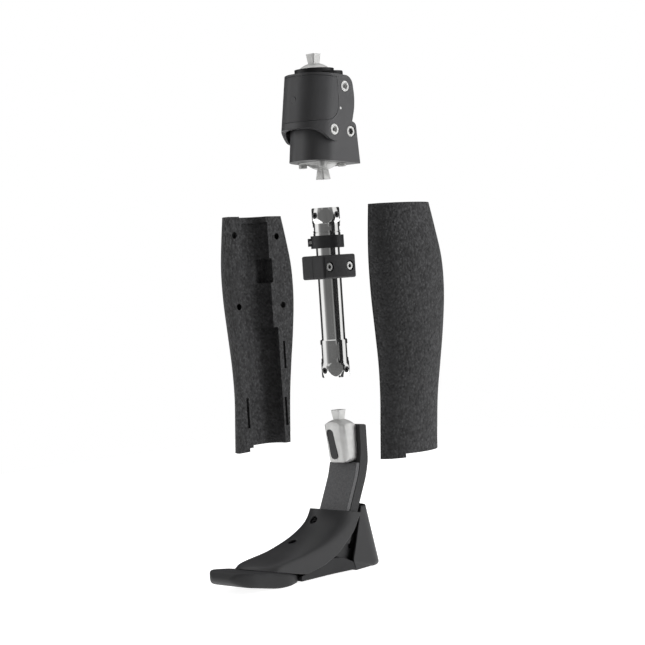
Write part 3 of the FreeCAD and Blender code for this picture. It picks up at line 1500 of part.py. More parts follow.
def rear_link():
    """The rear link: an eye on the rear axle and a wider one on the hidden pin."""
    web = side_slab("link_web", [
        ("rear_pivot_front - link_waist", "rear_pivot_height"),
        ("rear_pivot_front + link_waist", "rear_pivot_height"),
        ("hidden_pivot_front + link_waist", "hidden_pivot_height"),
        ("hidden_pivot_front - link_waist", "hidden_pivot_height"),
    ], "link_half")
    eyes = [through_rod(f"link_{pivot}_eye", pivot, "link_eye_radius", "link_half") for pivot in ("rear", "hidden")]
    return cut("rear_link", fuse("link_solid", web, *eyes),
               through_rod("link_rear_bore", "rear", "rear_axle_radius + slip_fit", "2 * link_half"),
               through_rod("link_hidden_bore", "hidden", "hidden_pin_radius + hidden_pin_play", "2 * link_half"))


def knee():
    knee_housing()
    knee_adapter()
    flange_screws()
    bushes("front_bushes", "front", "housing_half - 12", "housing_half")
    axle("rear_axle", "rear", "rear_axle_radius", "rear_axle_half")
    axle_screws("rear_axle_screws", "rear", "rear_axle_half")
    link_frame()
    front_pad()
    plug_rod("pad_plug", "plug_radius")
    mark_rods("reference_marks", "mark_radius")
    axle("front_axle", "front", "axle_radius", "shell_half - head_recess_depth")
    axle_screws("front_axle_screws", "front", "shell_half - head_recess_depth")
    stubs = pivot_rod("upper_stub_rods", "upper", "axle_radius", "stub_inner", "shell_half - head_recess_depth")
    threads = pivot_rod("upper_stub_threads", "upper", "axle_thread_radius + slip_fit",
                        "shell_half - head_recess_depth - axle_thread_length - 1", "shell_half")
    cut("upper_axles", stubs, threads)
    axle_screws("upper_axle_screws", "upper", "shell_half - head_recess_depth")
    thigh_block()
    upper_adapter()
    crown_bolt()
    bushes("upper_bushes", "upper", "stub_inner", "thigh_half + 0.3")
    through_rod("hidden_pin", "hidden", "hidden_pin_radius", "hidden_pin_half")
    extension_stop()
    rear_link()
    return ["knee_housing", "knee_adapter", "flange_screws", "front_bushes", "rear_axle", "rear_axle_screws",
            "link_frame", "front_pad", "pad_plug", "reference_marks", "front_axle", "front_axle_screws",
            "upper_axles", "upper_axle_screws", "thigh_block", "upper_adapter", "crown_bolt", "upper_bushes",
            "hidden_pin", "extension_stop", "rear_link"]


def finish(names):
    """Checks every object of the document and writes one file for each node."""
    doc.recompute()
    for thing in doc.Objects:
        if "Invalid" in thing.State or "Error" in thing.State:
            raise RuntimeError(f"{thing.Name} failed: {thing.State}")
    os.makedirs("parts", exist_ok=True)
    for name in names:
        shape = doc.getObject(name).Shape
        if shape.isNull() or not shape.isValid() or not shape.Solids:
            raise RuntimeError(f"{name} has no sound solid")
        shape.exportStep(f"parts/{name}.step")
        print(f"{name:24s} solids {len(shape.Solids)} volume {shape.Volume:10.0f}")


finish(pylon() + covers() + foot() + knee())
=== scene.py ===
# %% [markdown]
# # A modular leg prosthesis, laid open
#
# The object is a prosthetic leg before it is put together: a foot, a steel pylon, two foam calf halves
# and a knee, standing apart on one axis. The CAD model gives every piece its place and its motion. This
# lesson loads it as a fixed frame, dresses it with modelled skins and finishes, and sets it in a studio.
# Everything is in metres. Z points up, the toe points along -Y, and +X is the near side.

# %% Load the frame
import json
import math

import bmesh
import bpy
from mathutils import Euler, Matrix, Vector

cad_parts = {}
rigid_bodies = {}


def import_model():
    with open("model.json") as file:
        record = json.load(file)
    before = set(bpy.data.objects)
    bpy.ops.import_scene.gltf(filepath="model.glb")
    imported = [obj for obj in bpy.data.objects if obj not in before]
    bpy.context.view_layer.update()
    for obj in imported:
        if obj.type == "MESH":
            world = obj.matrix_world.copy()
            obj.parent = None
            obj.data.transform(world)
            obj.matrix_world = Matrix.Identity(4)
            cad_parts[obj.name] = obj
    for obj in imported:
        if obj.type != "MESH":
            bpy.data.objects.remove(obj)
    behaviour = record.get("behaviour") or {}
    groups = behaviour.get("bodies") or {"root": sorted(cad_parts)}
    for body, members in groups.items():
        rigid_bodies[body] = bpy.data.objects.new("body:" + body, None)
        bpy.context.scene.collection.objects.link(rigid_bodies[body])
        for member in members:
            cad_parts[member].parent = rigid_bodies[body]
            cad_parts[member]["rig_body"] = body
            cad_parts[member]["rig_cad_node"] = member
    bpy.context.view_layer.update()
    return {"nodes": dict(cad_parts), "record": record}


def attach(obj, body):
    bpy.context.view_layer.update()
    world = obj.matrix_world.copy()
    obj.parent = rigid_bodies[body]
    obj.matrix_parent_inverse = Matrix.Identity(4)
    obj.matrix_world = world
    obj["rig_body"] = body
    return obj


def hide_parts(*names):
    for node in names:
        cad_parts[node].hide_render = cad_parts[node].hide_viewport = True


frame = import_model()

MM = 0.001

# %% [markdown]
# ## Camera
#
# The picture was taken from in front of the near side, 45 degrees round from the toe, with a long lens
# almost level with the middle of the calf, and the camera was rolled a little, so the leg leans to the
# left. A picture that is 645 pixels wide with a focal length of 1890 pixels gives the lens on a 36 mm
# sensor.

# %% Camera
PICTURE_WIDTH = 645
FOCAL_PIXELS = 1890
SENSOR_WIDTH = 36
CAMERA_DISTANCE = 2.400
CAMERA_ASIDE = -0.0128
CAMERA_HEIGHT = 0.3893
CAMERA_PITCH = math.radians(1.82)
CAMERA_ROLL = math.radians(-3.7)
CAMERA_AZIMUTH = math.radians(45)

lens = bpy.data.cameras.new("camera")
lens.sensor_width = SENSOR_WIDTH
lens.lens = SENSOR_WIDTH * FOCAL_PIXELS / PICTURE_WIDTH
lens.clip_end = 50
camera = bpy.data.objects.new("camera", lens)
bpy.context.scene.collection.objects.link(camera)
toward_viewer = Vector((math.sin(CAMERA_AZIMUTH), -math.cos(CAMERA_AZIMUTH), 0))
to_the_right = Vector((math.cos(CAMERA_AZIMUTH), math.sin(CAMERA_AZIMUTH), 0))
camera.location = toward_viewer * CAMERA_DISTANCE + to_the_right * CAMERA_ASIDE
camera.location.z = CAMERA_HEIGHT
aim = Euler((math.radians(90) - CAMERA_PITCH, 0, CAMERA_AZIMUTH)).to_matrix().to_4x4()
camera.matrix_world = Matrix.Translation(camera.location) @ aim @ Matrix.Rotation(CAMERA_ROLL, 4, "Z")
bpy.context.scene.camera = camera
print("lens:", round(lens.lens, 1), "mm")

# %% [markdown]
# ## Studio
#
# The background is plain white. The world is white only to the camera. As a light it is a dim grey, so
# that the dark plastics keep their colour, and in reflections it is a ring of screens, which draws the long
# highlights on the steel. Light Path tells the three kinds of ray apart.

# %% World
studio = bpy.data.worlds.new("studio")
bpy.context.scene.world = studio
studio.use_nodes = True
world_nodes, world_links = studio.node_tree.nodes, studio.node_tree.links
world_nodes.clear()


def world_node(kind, **settings):
    """A world node with some of its settings set."""
    node = world_nodes.new(kind)
    for name, value in settings.items():
        setattr(node, name, value)
    return node


ray = world_node("ShaderNodeLightPath")
backdrop = world_node("ShaderNodeMath", operation="MAXIMUM")
world_links.new(ray.outputs["Is Camera Ray"], backdrop.inputs[0])
world_links.new(ray.outputs["Is Transmission Ray"], backdrop.inputs[1])

# %% [markdown]
# Polished steel only looks like steel when there is something dark to mirror. So glossy rays see a ring of
# screens with dark gaps between them, as in a product studio: a grey room behind the camera, a tall white
# screen to each side and one overhead. The ring is a radial gradient round Z. Each stop of its ramp is a
# bearing in the picture, where 0 is towards the viewer and 90 is to the right, and a whiteness.

# %% Screens round the studio
SCREENS = ((-135, 0.03), (-118, 0.03), (-111, 1.0), (-80, 1.0), (-66, 0.30), (-48, 0.15), (8, 0.15),
           (20, 0.30), (30, 0.30), (38, 0.012), (60, 0.012), (68, 1.0), (108, 1.0), (116, 0.03), (225, 0.03))
RING_START = SCREENS[0][0]
OVERHEAD_FROM, OVERHEAD_TO, OVERHEAD_WHITE = 0.45, 0.75, 0.9

bearing = world_node("ShaderNodeTexGradient", gradient_type="RADIAL")
direction = world_node("ShaderNodeTexCoord")
world_links.new(direction.outputs["Generated"], bearing.inputs["Vector"])
ring = world_node("ShaderNodeValToRGB")
while len(ring.color_ramp.elements) < len(SCREENS):
    ring.color_ramp.elements.new(0.5)
for stop, (angle, white) in zip(ring.color_ramp.elements, SCREENS):
    stop.position = (angle - RING_START) / 360
    stop.color = (white, white, white, 1)
world_links.new(bearing.outputs["Fac"], ring.inputs["Fac"])
upward = world_node("ShaderNodeSeparateXYZ")
world_links.new(direction.outputs["Generated"], upward.inputs["Vector"])
overhead = world_node("ShaderNodeMapRange", interpolation_type="SMOOTHSTEP")
overhead.inputs["From Min"].default_value = OVERHEAD_FROM
overhead.inputs["From Max"].default_value = OVERHEAD_TO
overhead.inputs["To Max"].default_value = OVERHEAD_WHITE
world_links.new(upward.outputs["Z"], overhead.inputs["Value"])
mirrored = world_node("ShaderNodeMath", operation="MAXIMUM")
world_links.new(ring.outputs["Color"], mirrored.inputs[0])
world_links.new(overhead.outputs["Result"], mirrored.inputs[1])

# %% Soft light for matte surfaces, screens for glossy ones, white for the camera
AMBIENT = 0.18


def blend_by(switch, off, on):
    """A number that is the off value where the switch is 0 and the on value where it is 1."""
    mix = world_node("ShaderNodeMix", data_type="FLOAT")
    world_links.new(switch, mix.inputs[0])
    for socket, source in ((2, off), (3, on)):
        if isinstance(source, float):
            mix.inputs[socket].default_value = source
        else:
            world_links.new(source, mix.inputs[socket])
    return mix.outputs[0]


around = blend_by(ray.outputs["Is Glossy Ray"], AMBIENT, mirrored.outputs[0])
seen = blend_by(backdrop.outputs[0], around, 1.0)
glow = world_node("ShaderNodeBackground")
glow.inputs["Color"].default_value = (1, 1, 1, 1)
world_links.new(seen, glow.inputs["Strength"])
world_out = world_node("ShaderNodeOutputWorld")
world_links.new(glow.outputs[0], world_out.inputs["Surface"])
print("world with", len(SCREENS), "stops")

# %% [markdown]
# Three large soft lamps give the matte pieces their gradients: one to each side and a weak one from above
# and behind. They are weak enough that every colour renders about as it is written. Bearings are those of
# the screens. Glossy rays miss the lamps, because the screens already stand for them there.

# %% Lamps
MIDDLE = Vector((0, 0, 0.33))


def soft_lamp(name, bearing, height, width, power, distance=1.9, tall=1.6):
    """A rectangular lamp at a bearing and a height, turned to face the middle of the leg."""
    turn = math.radians(bearing)
    place = (toward_viewer * math.cos(turn) + to_the_right * math.sin(turn)) * distance
    place.z = height
    lamp = bpy.data.lights.new(name, "AREA")
    lamp.shape = "RECTANGLE"
    lamp.size, lamp.size_y, lamp.energy = width, tall, power
    holder = bpy.data.objects.new(name, lamp)
    bpy.context.scene.collection.objects.link(holder)
    holder.location = place
    holder.rotation_euler = (MIDDLE - place).to_track_quat("-Z", "Y").to_euler()
    holder.visible_glossy = False
    print(name, "at", power, "W")


soft_lamp("lamp_right", 76, 0.8, 0.6, 42)
soft_lamp("lamp_left", -104, 0.9, 0.5, 24)
soft_lamp("lamp_top", -150, 2.1, 1.0, 14, distance=0.5, tall=1.0)

# %% [markdown]
# The floor is a pale sheet. Most of what the camera and the reflections see of it is a white glow that no
# lamp shades, and the rest is a plain pale surface, which keeps a faint shadow under the foot.

# %% Floor
FLOOR_SIZE = 3
FLOOR_DROP = 0.0003
FLOOR_GLOW, FLOOR_PALE = 0.9, 0.6

bpy.ops.object.select_all(action="DESELECT")
bpy.ops.mesh.primitive_plane_add(size=FLOOR_SIZE, location=(0, 0, -FLOOR_DROP))
floor = bpy.context.object
floor.name = "floor"
floor_paint = bpy.data.materials.new("pale_floor")
floor_paint.use_nodes = True
floor_nodes, floor_links = floor_paint.node_tree.nodes, floor_paint.node_tree.links
floor_nodes.clear()
floor_ray = floor_nodes.new("ShaderNodeLightPath")
floor_seen = floor_nodes.new("ShaderNodeMath")
floor_seen.operation = "MAXIMUM"
floor_links.new(floor_ray.outputs["Is Camera Ray"], floor_seen.inputs[0])
floor_links.new(floor_ray.outputs["Is Glossy Ray"], floor_seen.inputs[1])
floor_white = floor_nodes.new("ShaderNodeEmission")
floor_white.inputs["Color"].default_value = (1, 1, 1, 1)
floor_strength = floor_nodes.new("ShaderNodeMath")
floor_strength.operation = "MULTIPLY"
floor_strength.inputs[1].default_value = FLOOR_GLOW
floor_links.new(floor_seen.outputs[0], floor_strength.inputs[0])
floor_links.new(floor_strength.outputs[0], floor_white.inputs["Strength"])
floor_matte = floor_nodes.new("ShaderNodeBsdfDiffuse")
floor_matte.inputs["Color"].default_value = (FLOOR_PALE, FLOOR_PALE, FLOOR_PALE, 1)
floor_sum = floor_nodes.new("ShaderNodeAddShader")
floor_links.new(floor_white.outputs[0], floor_sum.inputs[0])
floor_links.new(floor_matte.outputs[0], floor_sum.inputs[1])
floor_out = floor_nodes.new("ShaderNodeOutputMaterial")
floor_links.new(floor_sum.outputs[0], floor_out.inputs["Surface"])
floor.data.materials.append(floor_paint)

bpy.context.scene.view_settings.view_transform = "Standard"
print("floor set", FLOOR_SIZE, "m wide")

# %% [markdown]
# ## Finishes
#
# Each finish is one Principled shader with a little procedural detail: a mottle that varies the roughness
# or the colour, and a fine bump. One helper builds them all, since they differ only in these values.
# Patterns read Object coordinates in metres, so their scale is the number of features in a metre.

# %% A helper for finishes
def finish(name, color, roughness, metallic=0.0, grain=900.0, bump=0.1, depth=0.0002, mottle=0.15,
           spread=60.0, stretch=(1, 1, 1), pattern="NOISE"):
    """A procedural material: mottled colour and roughness, and a fine bump of noise or of beads."""
    paint = bpy.data.materials.new(name)
    paint.use_nodes = True
    nodes, links = paint.node_tree.nodes, paint.node_tree.links
    shader = nodes["Principled BSDF"]
    shader.inputs["Metallic"].default_value = metallic
    where = nodes.new("ShaderNodeTexCoord")
    scale = nodes.new("ShaderNodeMapping")
    scale.inputs["Scale"].default_value = stretch
    links.new(where.outputs["Object"], scale.inputs["Vector"])
    patches = nodes.new("ShaderNodeTexNoise")
    patches.inputs["Scale"].default_value = spread
    patches.inputs["Detail"].default_value = 5
    links.new(scale.outputs[0], patches.inputs["Vector"])
    shades = nodes.new("ShaderNodeValToRGB")
    for stop, share in zip(shades.color_ramp.elements, (1 - mottle, 1 + mottle)):
        stop.color = tuple(min(channel * share, 1) for channel in color) + (1,)
    shades.color_ramp.elements[0].position = 0.3
    shades.color_ramp.elements[1].position = 0.7
    links.new(patches.outputs["Fac"], shades.inputs["Fac"])
    dullness = nodes.new("ShaderNodeMapRange")
    dullness.inputs["To Min"].default_value = roughness * (1 - mottle)
    dullness.inputs["To Max"].default_value = min(roughness * (1 + mottle), 1)
    links.new(patches.outputs["Fac"], dullness.inputs["Value"])
    links.new(dullness.outputs[0], shader.inputs["Roughness"])
    if pattern == "BEADS":
        fine = nodes.new("ShaderNodeTexVoronoi")
        fine.feature = "SMOOTH_F1"
        height = fine.outputs["Distance"]
    else:
        fine = nodes.new("ShaderNodeTexNoise")
        fine.inputs["Detail"].default_value = 6
        height = fine.outputs["Fac"]
    fine.inputs["Scale"].default_value = grain
    links.new(scale.outputs[0], fine.inputs["Vector"])
    relief = nodes.new("ShaderNodeBump")
    relief.inputs["Strength"].default_value = bump
    relief.inputs["Distance"].default_value = depth
    relief.invert = pattern == "BEADS"
    links.new(height, relief.inputs["Height"])
    links.new(relief.outputs[0], shader.inputs["Normal"])
    links.new(shades.outputs[0], shader.inputs["Base Color"])
    return paint


# %% [markdown]
# The calf covers are bead foam: thousands of soft beads pressed together, with a dark joint round each. A
# Voronoi pattern gives the beads. Its distance rounds them, and its cell colour makes some a little lighter
# than others, as the real ones are.

# %% Bead foam
BEADS_PER_METRE = 360
DARKEST_BEAD, LIGHTEST_BEAD = 0.45, 1.75


def bead_foam(name, color):
    """Moulded bead foam: rounded beads of slightly different greys."""
    paint = finish(name, color, 0.8, grain=BEADS_PER_METRE, bump=1.0, depth=0.0016, mottle=0.3, spread=260,
                   pattern="BEADS")
    nodes, links = paint.node_tree.nodes, paint.node_tree.links
    shader = nodes["Principled BSDF"]
    base = shader.inputs["Base Color"].links[0].from_socket
    beads = next(node for node in nodes if node.bl_idname == "ShaderNodeTexVoronoi")
    tone = nodes.new("ShaderNodeSeparateColor")
    links.new(beads.outputs["Color"], tone.inputs["Color"])
    lift = nodes.new("ShaderNodeMapRange")
    lift.inputs["To Min"].default_value = DARKEST_BEAD
    lift.inputs["To Max"].default_value = LIGHTEST_BEAD
    links.new(tone.outputs["Red"], lift.inputs["Value"])
    tinted = nodes.new("ShaderNodeVectorMath")
    tinted.operation = "SCALE"
    links.new(base, tinted.inputs[0])
    links.new(lift.outputs[0], tinted.inputs["Scale"])
    links.new(tinted.outputs[0], shader.inputs["Base Color"])
    return paint


# %% [markdown]
# The dark plastics, rubbers and laminates differ mostly in how dull they are, and a little in how dark. The
# tube and its receivers are polished. The adapters and the screw heads are blasted, so they take a soft
# sheen, and their low metallic value keeps them pale where there is nothing bright to mirror.

# %% The finishes
FINISHES = {
    "steel": finish("polished_steel", (0.80, 0.80, 0.79), 0.10, metallic=1.0, grain=1500, bump=0.03,
                    spread=90, stretch=(1, 1, 0.12)),
    "bright_steel": finish("blasted_steel", (0.58, 0.58, 0.57), 0.36, metallic=0.45, grain=1200, bump=0.08),
    "dark_screw": finish("blackened_screw", (0.014, 0.014, 0.015), 0.35, metallic=0.3, grain=1500),
    "knee_plastic": finish("satin_shell", (0.058, 0.058, 0.060), 0.42, grain=1800, bump=0.12, mottle=0.06),
    "knee_pad": finish("satin_pad", (0.052, 0.052, 0.054), 0.46, grain=2200, bump=0.15, mottle=0.05),
    "block_plastic": finish("moulded_block", (0.010, 0.010, 0.011), 0.5, grain=1400, bump=0.25),
    "foam": bead_foam("bead_foam", (0.031, 0.031, 0.032)),
    "blade": finish("fibre_blade", (0.016, 0.016, 0.017), 0.55, grain=700, bump=0.8, depth=0.0006, mottle=0.6,
                    spread=420),
    "facing": finish("facing_laminate", (0.085, 0.085, 0.088), 0.5, grain=700, bump=0.5, depth=0.0005,
                     mottle=0.3, spread=420),
    "foot_shell": finish("matte_shell", (0.016, 0.016, 0.017), 0.46, grain=1600, bump=0.15, mottle=0.08),
    "sole_rubber": finish("sole_rubber", (0.010, 0.010, 0.011), 0.6, grain=1000, bump=0.3, mottle=0.1),
    "block_metal": finish("black_anodised", (0.020, 0.020, 0.021), 0.38, metallic=0.3, grain=900, bump=0.15),
    "bush": finish("bush_plastic", (0.45, 0.43, 0.36), 0.4),
    "white_mark": finish("white_mark", (0.6, 0.6, 0.59), 0.5, mottle=0.03),
}
# The facing has a finish of its own, but it belongs to the blade's slot in the record.
print(len(FINISHES), "finishes")

# %% [markdown]
# ## The CAD pieces that stay
#
# Axles, bushes, bolts and other turned or milled pieces are right as the CAD makes them. Each one keeps its
# mesh and only takes the finish that the record names for it.

# %% Dress the CAD nodes
for subpart in frame["record"]["subparts"]:
    node = frame["nodes"][subpart["node"]]
    node.data.materials.clear()
    node.data.materials.append(FINISHES[subpart["material_slot"]])

# %% [markdown]
# ## Modelling helpers
#
# The pieces are modelled as by hand: a primitive is added, edited with operators, and finished with
# modifiers that are applied. An operator acts on everything that is selected, so each helper first clears
# the selection and then picks what it needs by place. The sizes below are in millimetres, as a workshop
# drawing gives them, and each helper turns them into metres. A front is a distance ahead of the pylon's
# axis, so it runs along -Y.

# %% Selecting
def only(piece):
    """Leaves edit mode and selects just one piece."""
    if bpy.context.object and bpy.context.object.mode != "OBJECT":
        bpy.ops.object.mode_set(mode="OBJECT")
    bpy.ops.object.select_all(action="DESELECT")
    if piece:
        piece.select_set(True)
        bpy.context.view_layer.objects.active = piece
    return piece


def edit(piece):
    """Opens a piece in edit mode with nothing selected."""
    only(piece)
    bpy.ops.object.mode_set(mode="EDIT")
    bpy.ops.mesh.select_mode(type="VERT")
    bpy.ops.mesh.select_all(action="DESELECT")
    return piece


def pick(piece, kind, test):
    """In edit mode, selects just the vertices, edges or faces that pass a test, and counts them."""
    bpy.ops.mesh.select_mode(type=kind)
    bpy.ops.mesh.select_all(action="DESELECT")
    shape = bmesh.from_edit_mesh(piece.data)
    items = {"VERT": shape.verts, "EDGE": shape.edges, "FACE": shape.faces}[kind]
    chosen = [item for item in items if test(item)]
    for item in chosen:
        item.select_set(True)
    bmesh.update_edit_mesh(piece.data)
    return len(chosen)


# %% [markdown]
# Most of the pieces start as a plate: an outline with rounded corners, pulled out to a thickness. By hand
# it's one vertex that is extruded from corner to corner, filled, rounded with a vertex bevel, and extruded
# sideways. A corner of radius r between two edges that turn by an angle takes r * tan(angle / 2) of each
# edge, and that length is what the bevel wants.

# %% A plate
def plate(corners, low, high, view="side", segments=14):
    """A plate from a rounded outline, whose corners are given in order as (across, up, radius).

    In the side view, across is the front and up is the height, and the plate runs along X. In the plan
    view, across is the side and up is the front, and the plate runs along Z. In the front view, across is
    the side and up is the height, and the plate runs forward.
    """
    only(None)
    bpy.ops.mesh.primitive_plane_add(size=MM)
    piece = bpy.context.object
    bpy.ops.object.mode_set(mode="EDIT")
    bpy.ops.mesh.select_mode(type="VERT")
    bpy.ops.mesh.select_all(action="SELECT")
    bpy.ops.mesh.merge(type="CENTER")
    if view == "side":
        points = [Vector((low, -corner[0], corner[1])) * MM for corner in corners]
        run = Vector((high - low, 0, 0)) * MM
    elif view == "front":
        points = [Vector((corner[0], -low, corner[1])) * MM for corner in corners]
        run = Vector((0, low - high, 0)) * MM
    else:
        points = [Vector((corner[0], -corner[1], low)) * MM for corner in corners]
        run = Vector((0, 0, high - low)) * MM
    bpy.ops.transform.translate(value=points[0])
    for here, there in zip(points, points[1:]):
        bpy.ops.mesh.extrude_vertices_move(TRANSFORM_OT_translate={"value": there - here})
    bpy.ops.mesh.select_all(action="SELECT")
    bpy.ops.mesh.edge_face_add()
    for at, corner in enumerate(corners):
        if len(corner) < 3:
            continue
        into, out_of = points[at] - points[at - 1], points[(at + 1) % len(points)] - points[at]
        reach = corner[2] * MM * math.tan(into.angle(out_of) / 2)
        pick(piece, "VERT", lambda spot: (spot.co - points[at]).length < 1e-6)
        bpy.ops.mesh.bevel(offset=reach, segments=segments, affect="VERTICES", clamp_overlap=False)
    bpy.ops.mesh.select_all(action="SELECT")
    bpy.ops.mesh.extrude_region_move(TRANSFORM_OT_translate={"value": run})
    bpy.ops.mesh.select_all(action="SELECT")
    bpy.ops.mesh.normals_make_consistent(inside=False)
    return only(piece)


# %% [markdown]
# Holes, pockets and slots are cut with rods and bricks. They are only tools, so they come as plain
# primitives, already at their size and place, and the cut uses them up.

# %% Rods and bricks as tools
def rod(radius, length, at, along="Z", vertices=64):
    """A round tool centred at a place given as (side, front, height)."""
    only(None)
    turn = {"X": (0, math.radians(90), 0), "Y": (math.radians(90), 0, 0), "Z": (0, 0, 0)}.get(along, along)
    bpy.ops.mesh.primitive_cylinder_add(radius=radius * MM, depth=length * MM, vertices=vertices,
                                        rotation=turn, location=Vector((at[0], -at[1], at[2])) * MM)
    bpy.ops.object.transform_apply(location=True, rotation=True, scale=True)
    return bpy.context.object


def brick(width, depth, height, at):
    """A square tool centred at a place given as (side, front, height)."""
    only(None)
    bpy.ops.mesh.primitive_cube_add(size=1, location=Vector((at[0], -at[1], at[2])) * MM)
    bpy.ops.transform.resize(value=(width * MM, depth * MM, height * MM))
    bpy.ops.object.transform_apply(location=True, rotation=True, scale=True)
    return bpy.context.object


# %% [markdown]
# A Boolean modifier does the cutting, and a Bevel modifier rounds the sharp edges that are left. The exact
# solver is slower than the fast one, but it copes with tools whose faces lie in a face of the piece.

# %% Cutting, joining and softening
def carve(piece, *tools, keep=False, join=False):
    """Cuts tools out of a piece, or keeps only what lies inside them, or joins them on."""
    for tool in tools:
        only(piece)
        change = piece.modifiers.new("carve", "BOOLEAN")
        change.operation = "INTERSECT" if keep else "UNION" if join else "DIFFERENCE"
        change.object, change.solver = tool, "EXACT"
        bpy.ops.object.modifier_apply(modifier=change.name)
        bpy.data.objects.remove(tool)
    return piece


def soften(piece, width, angle=38, segments=3):
    """Rounds each sharp edge by a width, since no moulded or milled edge is a knife's edge."""
    only(piece)
    ease = piece.modifiers.new("ease", "BEVEL")
    ease.width, ease.segments, ease.angle_limit = width * MM, segments, math.radians(angle)
    ease.limit_method = "ANGLE"
    ease.miter_outer = "MITER_ARC"
    ease.loop_slide = False
    bpy.ops.object.modifier_apply(modifier=ease.name)
    return piece


# %% [markdown]
# A finished piece is seated: its place goes into its mesh, its normals are smoothed across the fine bevels,
# and it rides on its body in place of the CAD nodes that it stands for.

# %% Seating a finished piece
def seat(piece, name, body, slot, *nodes, smooth=30):
    """Names a finished piece, gives it its finish, and seats it on its body in place of its CAD nodes."""
    only(piece)
    bpy.ops.object.transform_apply(location=True, rotation=True, scale=True)
    bpy.ops.object.shade_smooth_by_angle(angle=math.radians(smooth))
    even = piece.modifiers.new("even", "WEIGHTED_NORMAL")
    even.keep_sharp = True
    bpy.ops.object.modifier_apply(modifier=even.name)
    piece.name = piece.data.name = name
    piece.data.materials.clear()
    piece.data.materials.append(FINISHES[slot])
    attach(piece, body)
    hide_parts(*nodes)
    print(name, "rides on", body, "with", len(piece.data.polygons), "faces")
    return piece


# %% [markdown]
# ## Calf covers
#
# On the real leg these are two halves of bead foam, moulded round the pylon. The outside is one long
# smooth swell, so it is drawn up from a circle: extrude a ring, stretch it to the calf's width and depth
# there, and go on to the next. The rings follow a smooth curve through nine measured levels. A subdivision
# surface would be quicker, but it would shrink the ends. The closed calf is then bisected, and each half is
# hollowed with simple tools.

# %% The calf's measured levels
CALF_LEVELS = ((136, 51, 42, 31), (183, 47, 45.2, 31.6), (220, 43.8, 48.6, 33.4), (260, 43, 54.4, 38),
               (300, 45.4, 61, 41.8), (345, 48.6, 66, 44.8), (385, 49.3, 65.4, 44.6), (420, 47.4, 59.4, 40.4),
               (466, 42.6, 49, 34.6))


def between(levels, height):
    """The sizes at a height, on a smooth curve through the levels."""
    at = max(index for index, level in enumerate(levels[:-1]) if level[0] <= height)
    low, high = levels[at], levels[at + 1]
    before, after = levels[max(at - 1, 0)], levels[min(at + 2, len(levels) - 1)]
    span = high[0] - low[0]
    t = (height - low[0]) / span
    sizes = []
    for size in range(1, len(low)):
        rise_low = (high[size] - before[size]) / (high[0] - before[0]) * span
        rise_high = (after[size] - low[size]) / (after[0] - low[0]) * span
        sizes.append((2 * t ** 3 - 3 * t ** 2 + 1) * low[size] + (t ** 3 - 2 * t ** 2 + t) * rise_low
                     + (3 * t ** 2 - 2 * t ** 3) * high[size] + (t ** 3 - t ** 2) * rise_high)
    return sizes


print("calf at half height:", [round(size, 1) for size in between(CALF_LEVELS, 301)])

# %% The closed calf
CALF_LOW, CALF_HIGH, CALF_RINGS = 137, 465, 41


def closed_calf():
    """The whole calf as one solid, drawn up ring by ring from a circle."""
    step = (CALF_HIGH - CALF_LOW) / CALF_RINGS
    front, rear, half = between(CALF_LEVELS, CALF_LOW)
    only(None)
    bpy.ops.mesh.primitive_circle_add(vertices=112, radius=MM, fill_type="NGON",
                                      location=(0, (rear - front) / 2 * MM, CALF_LOW * MM))
    calf = bpy.context.object
    bpy.ops.object.transform_apply(location=True)
    bpy.ops.object.mode_set(mode="EDIT")
    bpy.ops.mesh.select_all(action="SELECT")
    centre = Vector((0, (rear - front) / 2 * MM, CALF_LOW * MM))
    bpy.ops.transform.resize(value=(half, (front + rear) / 2, 1), center_override=centre)
    for ring in range(1, CALF_RINGS + 1):
        height = CALF_LOW + ring * step
        new_front, new_rear, new_half = between(CALF_LEVELS, min(height, CALF_HIGH))
        drift = (new_rear - new_front) / 2 - (rear - front) / 2
        bpy.ops.mesh.extrude_region_move(TRANSFORM_OT_translate={"value": Vector((0, drift, step)) * MM})
        centre = Vector((0, (new_rear - new_front) / 2, height)) * MM
        bpy.ops.transform.resize(value=(new_half / half, (new_front + new_rear) / (front + rear), 1),
                                 center_override=centre)
        front, rear, half = new_front, new_rear, new_half
    bpy.ops.mesh.select_all(action="SELECT")
    bpy.ops.mesh.normals_make_consistent(inside=False)
    return only(calf)


# %% Trimming and halving with bisects
COVER_LOW, COVER_HIGH = (150, 146), (454, 457)
COVER_REACH = 90
COVER_JOINT = 0.1
COVERS = (("near_cover", 1, 116), ("far_cover", -1, 136))


def trimmed(calf, side):
    """One half of the calf, on the side given as 1 or -1, with its two ends cut at a slight slope."""
    cuts = [((side * COVER_JOINT * MM, 0, 0), (-side, 0, 0))]
    for (rear, front), outward in ((COVER_LOW, -1), (COVER_HIGH, 1)):
        middle = Vector((0, 0, (rear + front) / 2)) * MM
        slope = (front - rear) / (2 * COVER_REACH)
        cuts.append((middle, Vector((0, slope, 1)) * outward))
    edit(calf)
    for spot, away in cuts:
        bpy.ops.mesh.select_all(action="SELECT")
        bpy.ops.mesh.bisect(plane_co=spot, plane_no=away, use_fill=True, clear_outer=True)
    return only(calf)


# %% [markdown]
# The hollows are the same in both halves: a round channel for the tube, with a lip at its top, a wider
# squarish one below for the receiver and the blade, a pocket for the clamp block, and narrow slots that
# save foam. Two pegs on each half go into two holes in the other.

# %% Hollows, holes and pegs
PEGS = ((34, 432, 1), (-42, 428, -1), (34, 338, -1), (-46, 336, 1))
PEG_RADIUS, PEG_LENGTH, PEG_GAP = 4.2, 6, 0.3
BLADE_CHANNEL = [(-25.2, -34, 17), (-25.2, 24.5, 12), (25.2, 24.5, 12), (25.2, -34, 17)]
CHANNEL_HEIGHTS = (128, 307)


